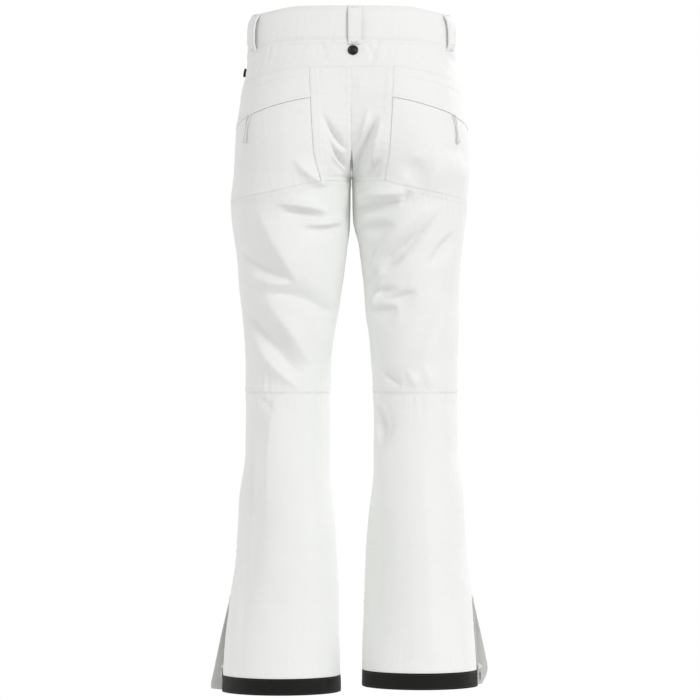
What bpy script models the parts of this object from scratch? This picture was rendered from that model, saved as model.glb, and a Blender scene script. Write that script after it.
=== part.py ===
"""Ski pants, modelled at real size as they hang on a wearer.

The frame: metres, +Z up, +Y the way the wearer faces, +X the wearer's right. The origin is the centre of
the waist opening, level with the top of the waistband. Every fabric panel is a closed plate that follows
one shell surface, which the cut table below describes as a stack of ovals: one oval per leg, and above
the crotch the two ovals meet at the centre seams.
"""

import bisect
import math

import bmesh
import bpy
from mathutils import Matrix, Vector

# ---- Driving dimensions, in metres -----------------------------------------------------------------
FABRIC = 0.0020  # outer cloth, membrane and lining together
SEAM = 0.0004  # gap between two panels at a seam
LAYER = 0.0006  # gap between a piece and the one that it lies on
WAIST_TOP = 0.0
FRONT_DIP = 0.008  # how far the waistband's top dips at the fly
BAND_BOTTOM = -0.050
YOKE_BOTTOM = -0.0855
CROTCH = -0.253
UNDER_SEAT = -0.2595
KNEE = -0.585
SLIT_TOP = -0.900
GUARD_TOP = -1.014
HEM = -1.048
SEAT_SHARE = 0.3  # share of a back panel's columns that lie inside the pocket seam

# The cut: each line gives a value of the shell at the heights where it turns.
SIDE_X = (
    (0.0, 0.156), (-0.03, 0.1605), (-0.07, 0.1605), (-0.13, 0.172), (-0.20, 0.1805), (-0.285, 0.183),
    (-0.40, 0.172), (KNEE, 0.164), (-0.67, 0.1645), (-0.75, 0.174), (-0.83, 0.178), (SLIT_TOP, 0.187),
    (HEM, 0.199),
)
BACK_Y = (
    (0.0, -0.098), (-0.05, -0.105), (-0.13, -0.126), (-0.19, -0.132), (-0.26, -0.121), (-0.34, -0.107),
    (KNEE, -0.083), (-0.70, -0.086), (SLIT_TOP, -0.094), (HEM, -0.100),
)
FRONT_Y = (
    (0.0, 0.098), (-0.05, 0.105), (-0.13, 0.108), (-0.28, 0.102), (KNEE, 0.089), (-0.72, 0.079),
    (-0.88, 0.083), (HEM, 0.100),
)
CENTRE_X = (
    (0.0, 0.0), (-0.05, 0.012), (-0.10, 0.045), (-0.16, 0.074), (-0.20, 0.086), (CROTCH, 0.0915),
    (-0.40, 0.0925), (KNEE, 0.099), (-0.80, 0.1015), (HEM, 0.1078),
)
CENTRE_Y = ((0.0, 0.0), (-0.15, -0.008), (CROTCH, -0.014), (-0.40, -0.006), (KNEE, 0.002), (HEM, 0.0))
# Above the crotch: how far an oval would reach from its centre, past the centre seam that cuts it off.
INNER_REACH = (
    (0.0, 0.30), (-0.05, 0.30), (-0.10, 0.262), (-0.16, 0.195), (-0.20, 0.148), (-0.235, 0.108), (CROTCH, 0.0915),
)
# Below the crotch: how far the inseam stands from the centre plane.
INSEAM_X = (
    (CROTCH, 0.0006), (-0.318, 0.0025), (-0.38, 0.0085), (-0.443, 0.017), (-0.505, 0.028), (KNEE, 0.034),
    (-0.70, 0.0335), (-0.79, 0.026), (SLIT_TOP, 0.020), (HEM, 0.0165),
)
# Where the seam between seat panel and back pocket runs, by height.
SEAT_SEAM_X = ((YOKE_BOTTOM, 0.065), (-0.1356, 0.0625), (-0.215, 0.058), (UNDER_SEAT, 0.051), (-0.30, 0.051))

# The back pocket's opening is a flat cut through the shell: its height, and how it changes with x and y.
POCKET_CUT = (-0.1529, -0.159, -0.228)
POCKET_ZIP = (0.325, 0.765)  # the shares of a back panel's columns between which the zip runs
SLOT = 0.0026  # the slot that the back pocket's slider shows through

# Closures and trims
LOOP_WIDTH = 0.020
LOOP_STAND_OFF = 0.0075
CENTRE_LOOP_STAND_OFF = 0.0055
BACK_LOOP_ANGLE = math.radians(-21)
FRONT_LOOP_ANGLE = math.radians(58)
CENTRE_LOOP_X = 0.005
SNAP_RADIUS = 0.007
JACKET_SNAP_X = 0.0022
JACKET_SNAP_Z = -0.0608
SIDE_SNAP_ANGLE = math.radians(6)
SIDE_SNAP_Z = -0.089
TAB_LENGTH = 0.050  # how far the waist tab reaches past the centre front
TAB_LIFT = 0.0036
TAB_SNAP_X = 0.030
TAB_SNAP_Z = -0.029
SLIT_ANGLES = (math.radians(2.4), math.radians(12.0))  # half of the cuff slit, at its top and at the hem
GUSSET_TOP = -0.956
GUSSET_BULGE = 0.0185
CHAIN_WIDTH = 0.005
CHAIN_HEIGHT = 0.0016
SLIDER_LENGTH = 0.010

COLOURS = {
    "shell": (0.86, 0.87, 0.85, 0.75, 0.0),
    "lining": (0.55, 0.56, 0.54, 0.80, 0.0),
    "guard": (0.02, 0.02, 0.018, 0.60, 0.0),
    "zip": (0.88, 0.88, 0.86, 0.45, 0.0),
    "cord": (0.62, 0.63, 0.60, 0.60, 0.0),
    "slider": (0.80, 0.80, 0.77, 0.35, 0.0),
    "snap": (0.05, 0.05, 0.05, 0.30, 1.0),
}
SIDES = (("left", -1), ("right", 1))


# ---- The shell surface -----------------------------------------------------------------------------
def slopes_of(heights, values):
    """Slopes for a cubic through the points that never overshoots them."""
    steps = [(values[i + 1] - values[i]) / (heights[i + 1] - heights[i]) for i in range(len(values) - 1)]
    inner = [0.0 if a * b <= 0 else 2 * a * b / (a + b) for a, b in zip(steps, steps[1:])]
    return [steps[0], *inner, steps[-1]]


def profile(points):
    """A smooth function of height through the points of one line of the cut."""
    points = sorted(points)
    heights = [p[0] for p in points]
    values = [p[1] for p in points]
    slopes = slopes_of(heights, values)

    def value(z):
        z = min(max(z, heights[0]), heights[-1])
        i = min(max(bisect.bisect_right(heights, z) - 1, 0), len(heights) - 2)
        width = heights[i + 1] - heights[i]
        t = (z - heights[i]) / width
        start = values[i] * (1 + 2 * t) * (1 - t) ** 2 + slopes[i] * width * t * (1 - t) ** 2
        end = values[i + 1] * t * t * (3 - 2 * t) + slopes[i + 1] * width * t * t * (t - 1)
        return start + end

    return value


side_x = profile(SIDE_X)
back_y = profile(BACK_Y)
front_y = profile(FRONT_Y)
centre_x = profile(CENTRE_X)
centre_y = profile(CENTRE_Y)
uncut_reach = profile(INNER_REACH)
inseam_x = profile(INSEAM_X)
seat_seam_x = profile(SEAT_SEAM_X)


def inner_reach(z):
    """How far an oval reaches from its centre towards the other leg."""
    return uncut_reach(z) if z > CROTCH else centre_x(z) - inseam_x(z)


def widest_angle(z):
    """The angle at which the shell ends: at the centre seam above the crotch, at the inseam below."""
    return math.acos(-centre_x(z) / uncut_reach(z)) if z > CROTCH else math.pi


def oval(angle, z):
    """A point of the right half's shell. Angle 0 is the side seam, negative the back, positive the front."""
    across = math.cos(angle)
    reach_x = side_x(z) - centre_x(z) if across > 0 else inner_reach(z)
    along = math.sin(angle)
    reach_y = front_y(z) - centre_y(z) if along > 0 else centre_y(z) - back_y(z)
    return Vector((centre_x(z) + reach_x * across, centre_y(z) + reach_y * along, z))


def shell(side, angle, z):
    """The point and the outward normal of the shell, on the wearer's right (+1) or left (-1)."""
    step = 1e-4
    point = oval(angle, z)
    around = oval(angle + step, z) - oval(angle - step, z)
    down = oval(angle, z - step) - oval(angle, z + step)
    normal = down.cross(around).normalized()
    if normal.dot(point - Vector((centre_x(z), centre_y(z), z))) < 0:
        normal.negate()
    point.x += SEAM / 2
    return Vector((side * point.x, point.y, z)), Vector((side * normal.x, normal.y, normal.z))


def angle_at(x, z):
    """The angle of the point of the back that stands at x."""
    reach = side_x(z) - centre_x(z) if x > centre_x(z) else inner_reach(z)
    return -math.acos(min(max((x - centre_x(z)) / reach, -1.0), 1.0))


def mix(a, b, t):
    return a + (b - a) * t


def seam_angle(z):
    """Half of a side seam's gap, or of an inseam's, as an angle."""
    return SEAM / 2 / (front_y(z) - centre_y(z))


def back_angle(share, z):
    """The back's columns: share 0 at the centre seam or inseam, SEAT_SHARE at the pocket seam, 1 at the side."""
    centre = -widest_angle(z) + (0.0 if z > CROTCH else seam_angle(z))
    pocket = angle_at(seat_seam_x(z), z)
    if share < SEAT_SHARE:
        return mix(centre, pocket, share / SEAT_SHARE)
    return mix(pocket, -seam_angle(z), (share - SEAT_SHARE) / (1 - SEAT_SHARE))


def beyond_seat(share):
    """How far a column lies from the pocket seam (0) to the side seam (1)."""
    return max(0.0, (share - SEAT_SHARE) / (1 - SEAT_SHARE))


def yoke_seam(share):
    return YOKE_BOTTOM - 0.027 * beyond_seat(share) ** 1.3


def pocket_line(share):
    """The height of the back pocket's opening, where the flat cut meets this column."""
    z = -0.15
    for _ in range(12):
        point = oval(back_angle(share, z), z)
        z = POCKET_CUT[0] + POCKET_CUT[1] * point.x + POCKET_CUT[2] * point.y
    return z


def pocket_gap(share):
    """Half of the gap at the back pocket's opening: the zip's slot, or a seam's gap beyond its ends."""
    return SLOT / 2 if POCKET_ZIP[0] < share < POCKET_ZIP[1] else SEAM / 2


def under_seat_seam(share):
    return UNDER_SEAT - 0.0285 * (1 - (1 - beyond_seat(share)) ** 1.8)


def slit_angle(z):
    """Half of the cuff slit, as an angle; above the slit it is the side seam's gap."""
    if z > SLIT_TOP:
        return seam_angle(z)
    return mix(*SLIT_ANGLES, (SLIT_TOP - z) / (SLIT_TOP - HEM))


# ---- Making solids ---------------------------------------------------------------------------------
def material(name):
    found = bpy.data.materials.get(name)
    if found:
        return found
    made = bpy.data.materials.new(name)
    made.use_nodes = True
    red, green, blue, roughness, metallic = COLOURS[name]
    shader = made.node_tree.nodes["Principled BSDF"]
    shader.inputs["Base Color"].default_value = (red, green, blue, 1)
    shader.inputs["Roughness"].default_value = roughness
    shader.inputs["Metallic"].default_value = metallic
    return made


def solid(name, points, faces, kind):
    """An object from points and faces that close a body."""
    mesh = bpy.data.meshes.new(name)
    mesh.from_pydata(points, [], faces)
    shaped = bmesh.new()
    shaped.from_mesh(mesh)
    bmesh.ops.recalc_face_normals(shaped, faces=shaped.faces)
    if shaped.calc_volume(signed=True) < 0:
        bmesh.ops.reverse_faces(shaped, faces=shaped.faces)
    shaped.to_mesh(mesh)
    shaped.free()
    mesh.shade_smooth()
    mesh.set_sharp_from_angle(angle=math.radians(40))
    made = bpy.data.objects.new(name, mesh)
    made.data.materials.append(material(kind))
    bpy.context.scene.collection.objects.link(made)
    return made


def plate(name, place, columns, rows, thickness=FABRIC, kind="shell"):
    """A curved plate on the shell. place(a, b) gives (side, angle, height, lift off the shell) for column
    share a and row share b. columns and rows are counts, or lists of shares."""
    columns = [i / columns for i in range(columns + 1)] if isinstance(columns, int) else columns
    rows = [i / rows for i in range(rows + 1)] if isinstance(rows, int) else rows
    outer, inner = [], []
    for b in rows:
        for a in columns:
            side, angle, z, lift = place(a, b)
            point, normal = shell(side, angle, z)
            outer.append(point + normal * lift)
            inner.append(point + normal * (lift - thickness))
    wide, count = len(columns), len(outer)
    faces = []
    for row in range(len(rows) - 1):
        for column in range(wide - 1):
            corner = row * wide + column
            quad = (corner, corner + 1, corner + wide + 1, corner + wide)
            faces.append(quad)
            faces.append(tuple(i + count for i in reversed(quad)))
    rim = list(range(wide)) + [row * wide + wide - 1 for row in range(1, len(rows))]
    rim += list(range(count - 2, count - wide - 1, -1)) + [row * wide for row in range(len(rows) - 2, 0, -1)]
    for i, start in enumerate(rim):
        end = rim[(i + 1) % len(rim)]
        faces.append((end, start, start + count, end + count))
    return solid(name, outer + inner, faces, kind)


def sweep(name, frames, section, kind):
    """A section of (across, out) points carried along frames of (origin, across, out, scale)."""
    points = [
        origin + across * (scale * x) + out * y for origin, across, out, scale in frames for x, y in section
    ]
    size = len(section)
    faces = [tuple(range(size)), tuple(range(len(points) - 1, len(points) - size - 1, -1))]
    for ring in range(len(frames) - 1):
        for i in range(size):
            start, end = ring * size + i, ring * size + (i + 1) % size
            faces.append((start, end, end + size, start + size))
    return solid(name, points, faces, kind)


def turned(name, point, axis, outline, kind, segments=20):
    """A round piece from an outline of (radius, height) that starts and ends on the axis."""
    turn = axis.to_track_quat("Z", "Y").to_matrix().to_4x4()
    place = Matrix.Translation(point) @ turn
    points = [place @ Vector((0, 0, outline[0][1]))]
    for radius, height in outline[1:-1]:
        for i in range(segments):
            angle = 2 * math.pi * i / segments
            points.append(place @ Vector((radius * math.cos(angle), radius * math.sin(angle), height)))
    points.append(place @ Vector((0, 0, outline[-1][1])))
    faces = []
    last = len(outline) - 3
    for i in range(segments):
        following = (i + 1) % segments
        faces.append((0, 1 + following, 1 + i))
        for ring in range(last):
            low, high = 1 + ring * segments, 1 + (ring + 1) * segments
            faces.append((low + i, low + following, high + following, high + i))
        top = 1 + last * segments
        faces.append((top + i, top + following, len(points) - 1))
    return solid(name, points, faces, kind)


def union(target, other):
    """Joins other into target as one closed body."""
    joined = target.modifiers.new("join", "BOOLEAN")
    joined.operation = "UNION"
    joined.object = other
    other.hide_render = True
    other.display_type = "WIRE"
    return target


# ---- Panels ----------------------------------------------------------------------------------------
def mirrored(share):
    """Side and distance from the centre back for a column share of a piece that crosses it."""
    reach = 2 * share - 1
    return (1 if reach >= 0 else -1), abs(reach)


def waistband():
    def back(a, b):
        side, reach = mirrored(a)
        z = mix(WAIST_TOP, BAND_BOTTOM + SEAM / 2, b)
        return side, mix(-widest_angle(z), -seam_angle(z), reach), z, 0.0

    plate("waistband_back", back, 22, 2)
    for name, side in SIDES:

        def front(a, b, side=side):
            z = mix(WAIST_TOP - FRONT_DIP * a * a, BAND_BOTTOM + SEAM / 2, b)
            return side, mix(seam_angle(z), widest_angle(z), a), z, 0.0

        plate(f"waistband_front_{name}", front, 11, 2)


def waistband_facing():
    """The brushed facing inside the band, one strip that is open at the fly."""

    def place(a, b):
        side, reach = mirrored(a)
        z = mix(WAIST_TOP - FRONT_DIP * max(0.0, 2 * reach - 1) ** 2 - 0.002, BAND_BOTTOM - 0.006, b)
        return side, mix(-widest_angle(z), widest_angle(z) - 0.06, reach), z, -FABRIC - 0.0012

    plate("waistband_facing", place, 36, 2, thickness=0.0012, kind="lining")


def yoke():
    def place(a, b):
        side, share = mirrored(a)
        z = mix(BAND_BOTTOM - SEAM / 2, yoke_seam(share) + SEAM / 2, b)
        return side, back_angle(share, z), z, 0.0

    shares = [0.0, 0.15, SEAT_SHARE, 0.41, 0.53, 0.65, 0.77, 0.89, 1.0]
    columns = [0.5 - s / 2 for s in reversed(shares[1:])] + [0.5 + s / 2 for s in shares]
    plate("back_yoke", place, columns, 2)


THIGH_LEVELS = (UNDER_SEAT - SEAM / 2, -0.28, -0.33, -0.41, -0.50, KNEE + SEAM / 2)


def back_panels(name, side):
    pocket_columns = [SEAT_SHARE + 0.003, 0.326, 0.41, 0.50, 0.59, 0.68, 0.764, 0.80, 0.90, 1.0]

    def seat(a, b):
        z = mix(YOKE_BOTTOM - SEAM / 2, UNDER_SEAT + SEAM / 2, b)
        return side, back_angle(a * (SEAT_SHARE - 0.003), z), z, 0.0

    near_crotch = [0.0, 0.18, 0.36, 0.53, 0.68, 0.79, 0.87, 0.93, 0.965, 0.985, 1.0]
    plate(f"seat_panel_{name}", seat, 3, near_crotch)

    def welt(share, b):
        z = mix(yoke_seam(share) - SEAM / 2, pocket_line(share) + pocket_gap(share), b)
        return side, back_angle(share, z), z, 0.0

    plate(f"back_pocket_welt_{name}", welt, pocket_columns, 3)

    def pocket(share, b):
        z = mix(pocket_line(share) - pocket_gap(share), under_seat_seam(share) + SEAM / 2, b)
        return side, back_angle(share, z), z, 0.0

    plate(f"back_pocket_panel_{name}", pocket, pocket_columns, 5)

    def thigh(share, b):
        z = mix(under_seat_seam(share) - SEAM / 2, KNEE + SEAM / 2, b)
        return side, back_angle(share, z), z, 0.0

    thigh_columns = [0.0, 0.08, 0.16, 0.23, SEAT_SHARE, *pocket_columns[1:-1], 1.0]
    inseam = THIGH_LEVELS[0] - THIGH_LEVELS[-1]
    plate(f"back_thigh_{name}", thigh, thigh_columns, [(THIGH_LEVELS[0] - z) / inseam for z in THIGH_LEVELS])


def front_panels(name, side):
    def thigh(a, z):
        far = widest_angle(z) - (0.0 if z > CROTCH else seam_angle(z))
        return side, mix(seam_angle(z), far, a), z, 0.0

    heights = [
        BAND_BOTTOM - SEAM / 2, -0.072, -0.088, -0.11, -0.145, -0.185, -0.215, -0.235, -0.246, -0.2515,
        *THIGH_LEVELS,
    ]  # fmt: skip
    plate(f"front_thigh_{name}", thigh, 12, heights)


def lower_leg(name, side):
    levels = [KNEE - SEAM / 2, -0.67, -0.75, -0.83, SLIT_TOP + 0.0005, SLIT_TOP - 0.0005, -0.96, GUARD_TOP + SEAM / 2]

    def back(a, z):
        return side, mix(-math.pi + seam_angle(z), -slit_angle(z), a), z, 0.0

    plate(f"back_shin_{name}", back, 12, levels)

    def front(a, z):
        return side, mix(slit_angle(z), math.pi - seam_angle(z), a), z, 0.0

    plate(f"front_shin_{name}", front, 12, levels)

    def guard(a, b):
        z = mix(GUARD_TOP - SEAM / 2, HEM, b)
        return side, mix(slit_angle(z), 2 * math.pi - slit_angle(z), a), z, 0.0004

    plate(f"hem_guard_{name}", guard, 24, 1, thickness=0.0024, kind="guard")


def gusset_bulge(z):
    """How far the cuff gusset stands out of the slit: most a little above the hem, and rounded in below."""
    down = (GUSSET_TOP - z) / (GUSSET_TOP - HEM)
    return GUSSET_BULGE * math.sin(math.pi / 2 * min(1.0, down / 0.8)) * (1 - 0.35 * max(0.0, down - 0.8) / 0.2)


def cuff_gusset(name, side):
    """The pleat of lining cloth behind the cuff zip, folded outwards through the slit."""

    def place(a, b):
        z = mix(GUSSET_TOP, HEM + 0.006, b)
        across = 2 * a - 1
        foot = slit_angle(z) - 0.092
        if abs(across) > 0.5:
            angle = mix(foot, slit_angle(z) + 0.03, 2 * abs(across) - 1)
        else:
            angle = 2 * abs(across) * foot
        fold = max(0.0, 1 - 2 * abs(across))
        lift = -FABRIC - LAYER + (gusset_bulge(z) + FABRIC + LAYER) * math.sin(math.pi / 2 * fold)
        return side, math.copysign(angle, across), z, lift

    plate(f"cuff_gusset_{name}", place, 12, 6, thickness=0.0010, kind="lining")


def gaiter(name, side):
    """The boot gaiter: a sleeve inside the cuff, narrower towards its elastic hem."""
    levels = ((-0.865, 0.0065), (-0.93, 0.014), (-1.00, 0.023), (-1.032, 0.027))
    segments = 20
    outer, inner = [], []
    for z, inset in levels:
        for i in range(segments):
            point, normal = shell(side, 2 * math.pi * i / segments, z)
            normal.z = 0.0
            outer.append(point - normal.normalized() * inset)
            inner.append(point - normal.normalized() * (inset + 0.0014))
    count, faces = len(outer), []
    for i in range(segments):
        following = (i + 1) % segments
        for ring in range(len(levels) - 1):
            low, high = ring * segments, (ring + 1) * segments
            quad = (low + i, low + following, high + following, high + i)
            faces.append(quad)
            faces.append(tuple(k + count for k in reversed(quad)))
        end = (len(levels) - 1) * segments
        faces.append((following, i, i + count, following + count))
        faces.append((end + i, end + following, end + following + count, end + i + count))
    solid(f"gaiter_{name}", outer + inner, faces, "lining")


# ---- Belt loops and snaps --------------------------------------------------------------------------
def loop_lift(share, stand_off):
    """How far a belt loop's outer face stands off the band: sewn down at its ends, flat between them."""
    return 0.0018 + LAYER + stand_off * min(1.0, 1.6 * math.sin(math.pi * share))


def belt_loop(name, side, angle):
    step = 0.001
    half = LOOP_WIDTH / 2 * step / (shell(side, angle + step, -0.025)[0] - shell(side, angle, -0.025)[0]).length

    def place(a, b):
        z = mix(WAIST_TOP + 0.001, BAND_BOTTOM - 0.004, b)
        if angle > 0:
            z -= (1 - b) * FRONT_DIP * (angle / widest_angle(z)) ** 2
        return side, mix(angle - half, angle + half, a), z, loop_lift(b, LOOP_STAND_OFF)

    plate(f"belt_loop_{name}", place, 3, 6, thickness=0.0016)


def centre_loop():
    """The belt loop at the centre back, where a column is an x and not an angle."""

    def place(a, b):
        z = mix(WAIST_TOP + 0.001, BAND_BOTTOM - 0.002, b)
        x = CENTRE_LOOP_X + LOOP_WIDTH * (a - 0.5)
        side = 1 if x >= 0 else -1
        return side, angle_at(abs(x), z), z, loop_lift(b, CENTRE_LOOP_STAND_OFF)

    plate("belt_loop_centre", place, [0.0, 0.25, 0.6, 1.0], 6, thickness=0.0016)


def snap_cap(name, point, axis, height):
    """A domed cap with a rolled rim and a flat crown."""
    outline = (
        (0.0, 0.0), (0.0060, 0.0), (SNAP_RADIUS, 0.0008), (SNAP_RADIUS, height - 0.0012),
        (0.0062, height - 0.0003), (0.0052, height - 0.0003), (0.0046, height), (0.0, height),
    )  # fmt: skip
    return turned(name, point, axis, outline, "snap")


def outer_snaps():
    point, normal = shell(1, angle_at(JACKET_SNAP_X, JACKET_SNAP_Z), JACKET_SNAP_Z)
    snap_cap("jacket_snap", point + normal * LAYER, normal, 0.0036)
    point, normal = shell(-1, SIDE_SNAP_ANGLE, SIDE_SNAP_Z)
    snap_cap("side_snap", point + normal * LAYER, normal, 0.0048)


def front_angle(x, z):
    """The angle of the point of the front that stands at x."""
    return -angle_at(x, z)


def waist_closure():
    """The tab that closes the waist, with its snap, and the stud on the band below it."""

    def place(a, b):
        x = mix(-0.004, TAB_LENGTH, a)
        z = mix(-FRONT_DIP - 0.001, BAND_BOTTOM + 0.0015, b)
        side = 1 if x >= 0 else -1
        return side, front_angle(abs(x), z), z, TAB_LIFT + FABRIC

    plate("waist_tab", place, [0.0, 0.15, 0.35, 0.55, 0.75, 0.9, 1.0], 2)
    point, normal = shell(1, front_angle(TAB_SNAP_X, TAB_SNAP_Z), TAB_SNAP_Z)
    stud = ((0.0, 0.0), (0.0052, 0.0), (0.0052, 0.0006), (0.0020, 0.0007), (0.0020, 0.0021), (0.0, 0.0023))
    turned("waist_stud", point + normal * LAYER, normal, stud, "snap", segments=12)
    snap_cap("waist_snap", point + normal * (TAB_LIFT + FABRIC + 0.0004), normal, 0.0026)


# ---- Zips ------------------------------------------------------------------------------------------
CHAIN = (
    (-0.006, 0.0), (-0.006, 0.0006), (-CHAIN_WIDTH / 2, 0.0006), (-CHAIN_WIDTH / 2, CHAIN_HEIGHT),
    (CHAIN_WIDTH / 2, CHAIN_HEIGHT), (CHAIN_WIDTH / 2, 0.0006), (0.006, 0.0006), (0.006, 0.0),
)  # fmt: skip
CLEAR = 0.0005  # a slider's running clearance round the chain


def slider_section():
    """A channel that straddles the chain, open towards the tape."""
    inside = CHAIN_WIDTH / 2 + CLEAR
    roof = CHAIN_HEIGHT + CLEAR
    floor = 0.0006 + CLEAR
    return (
        (-inside - 0.0013, floor), (-inside - 0.0013, roof + 0.0006), (-inside, roof + 0.0012),
        (inside, roof + 0.0012), (inside + 0.0013, roof + 0.0006), (inside + 0.0013, floor),
        (inside, floor), (inside, roof), (-inside, roof), (-inside, floor),
    )  # fmt: skip


ROOF = CHAIN_HEIGHT + CLEAR + 0.0012  # a slider's top, above the tape
LUG_HEIGHT = ROOF + 0.0019  # the pull's axis, above the tape
LUG_HALF = 0.0007
FIN_LENGTH = 0.0044


def lug_section(height, half):
    """The upright eye on a slider's roof, for a pull whose axis is at this height."""
    low, high = ROOF - 0.0006, height + 0.0012
    return ((-half, low), (-half, high), (half, high), (half, low))


def hanging(out):
    """The way a pull hangs: straight down, but lying against the cloth below it."""
    down = Vector((0, 0, -1))
    return (down - out * down.dot(out)).normalized()


def slider(name, frames, section, middle, out):
    """A slider on its chain, with an eye that lets its pull hang straight down. Returns the eye's point, the way
    down, the hinge's axis and the way out."""
    body = sweep(name, frames, section, "slider")
    down = hanging(out)
    across = out.cross(down)
    ends = [(middle + down * step, across, out, 1.0) for step in (-0.0022, 0.0022)]
    union(body, sweep(f"{name}_eye", ends, lug_section(LUG_HEIGHT, LUG_HALF), "slider"))
    return middle + out * LUG_HEIGHT, down, across, out


def circle_through(first, middle, last):
    """Centre, radius and unit axis of the circle through three points."""
    a, b = middle - first, last - first
    normal = a.cross(b)
    centre = first + (normal.cross(a) * b.length_squared + b.cross(normal) * a.length_squared) / (
        2 * normal.length_squared
    )
    return centre, (first - centre).length, normal.normalized()


def arc_chain(name, first, middle, last):
    """A closed zip along an arc. Returns a function from a share of the arc to its frame there, and the share
    that a slider's half length takes."""
    centre, radius, axis = circle_through(first, middle, last)
    start = first - centre
    whole = start.angle(last - centre)

    def frame(share):
        out = Matrix.Rotation(whole * share, 3, axis) @ start.normalized()
        return centre + out * radius, axis, out, 1.0

    sweep(name.format("zip"), [frame(i / 14) for i in range(15)], CHAIN, "zip")
    return frame, SLIDER_LENGTH / 2 / (whole * radius)


def arc_zip(name, first, middle, last):
    """A closed zip along an arc of the shell, with its slider at the arc's last end."""
    frame, half = arc_chain(name, first, middle, last)
    centre = 1 - 3 * half
    origin, _, out, _ = frame(centre)
    frames = [frame(centre + step) for step in (-half, 0, half)]
    return slider(name.format("slider"), frames, slider_section(), origin, out)


def straight_zip(name, first, last, out, slider_at):
    """A closed zip along a straight line. slider_at is the slider's middle, as a distance from first."""
    along = (last - first).normalized()
    across = along.cross(out).normalized()
    out = across.cross(along)
    sweep(name.format("zip"), [(first, across, out, 1.0), (last, across, out, 1.0)], CHAIN, "zip")
    middle = first + along * slider_at
    frames = [(middle + along * step, across, out, 1.0) for step in (-SLIDER_LENGTH / 2, SLIDER_LENGTH / 2)]
    return slider(name.format("slider"), frames, slider_section(), middle, out)


def pull(name, hinge, gap, length, end, thickness=0.0020):
    """A fork that straddles its slider's eye: two cord strands that draw together, down to a moulded end."""
    eye, down, across, out = hinge
    strand = 0.0019
    meet = min(0.014, length * 0.6)
    outline = (
        (-gap - strand, -0.0011), (-gap - strand, 0.0030), (-0.0026, meet), (-0.0026, length), (-end, length + 0.0035),
        (-end * 0.85, length + 0.0085), (end * 0.85, length + 0.0085), (end, length + 0.0035), (0.0026, length),
        (0.0026, meet), (gap + strand, 0.0030), (gap + strand, -0.0011), (gap, -0.0011), (gap, 0.0026),
        (0.0008, meet), (0.0008, length - 0.001), (-0.0008, length - 0.001), (-0.0008, meet), (-gap, 0.0026),
        (-gap, -0.0011),
    )  # fmt: skip
    frames = [(eye - out * thickness / 2, across, down, 1.0), (eye + out * thickness / 2, across, down, 1.0)]
    return sweep(name, frames, outline, "cord")


def back_pocket_zip(name, side):
    """The back pocket's zip, which runs behind its slot. The slider's fin stands out through the slot."""
    depth = FABRIC + 0.0017 + ROOF
    cut = Vector((-side * POCKET_CUT[1], -POCKET_CUT[2], 1.0)).normalized()

    def behind(share):
        z = pocket_line(share)
        point, normal = shell(side, back_angle(share, z), z)
        return point - (normal - cut * normal.dot(cut)).normalized() * depth

    frame, half = arc_chain(f"back_pocket_{{}}_{name}", *map(behind, (POCKET_ZIP[0], 0.56, POCKET_ZIP[1])))
    centre = 1 - 2.2 * half
    frames = [frame(centre + step) for step in (-half, 0, half)]
    body = sweep(f"back_pocket_slider_{name}", frames, slider_section(), "slider")
    height = depth + 0.0024
    fin_half = half * FIN_LENGTH / SLIDER_LENGTH
    fin = [frame(centre + step) for step in (-fin_half, fin_half)]
    union(body, sweep(f"back_pocket_fin_{name}", fin, lug_section(height, 0.0004), "slider"))

    origin, _, out, _ = frame(centre)
    eye = origin + out * height
    face = shell(side, angle_at(abs(eye.x), eye.z), eye.z)[1]
    down = hanging(face)
    hinge = (eye, down, face.cross(down), face)
    pull(f"back_pocket_pull_{name}", hinge, FIN_LENGTH / 2 + 0.0005, 0.036, 0.0042)


def front_zip(name, side, ends, lift):
    """A zip on the front that follows the shell from one (x, z) to another. It bends only in and out."""
    middle = tuple(mix(*pair, 0.5) for pair in zip(*ends))
    points = [shell(side, front_angle(x, z), z) for x, z in (ends[0], middle, ends[1])]
    out = points[1][1]
    first, crown, last = (point + out * lift for point, _ in points)
    halfway = (first + last) / 2
    return arc_zip(name, first, halfway + out * (crown - halfway).dot(out), last)


def hand_pocket_zip(name, side):
    """The slanting front pocket's zip, from the side seam up towards the waistband."""
    hinge = front_zip(f"hand_pocket_{{}}_{name}", side, ((0.142, -0.205), (0.098, -0.078)), 0.0018)
    pull(f"hand_pocket_pull_{name}", hinge, LUG_HALF + 0.0004, 0.034, 0.0042)


def thigh_vent(name, side):
    """The vent zip on the inside of the thigh, a little in front of the inseam."""
    first, out = shell(side, math.radians(147), -0.545)
    last, upper = shell(side, math.radians(147), -0.345)
    lift = (out + upper).normalized()
    straight_zip(f"vent_{{}}_{name}", first + lift * 0.0018, last + lift * 0.0018, lift, 0.19)


def fly():
    """The fly zip and the placket over it, a little to the wearer's right of the centre front."""
    front_zip("fly_{}", 1, ((0.014, -0.180), (0.014, -0.066)), 0.0024)

    def place(a, b):
        z = mix(BAND_BOTTOM - 0.004, -0.196, b)
        x = mix(-0.006, 0.036, a)
        side = 1 if x >= 0 else -1
        ends = min(1.0, (1.0 - b) / 0.08)
        return side, front_angle(abs(x), z), z, LAYER + 0.0016 + 0.0094 * min(1.0, a / 0.14) * ends

    plate("fly_placket", place, [0.0, 0.14, 0.3, 0.5, 0.7, 0.85, 1.0], [0.0, 0.25, 0.5, 0.75, 0.92, 1.0], 0.0016)


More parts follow.
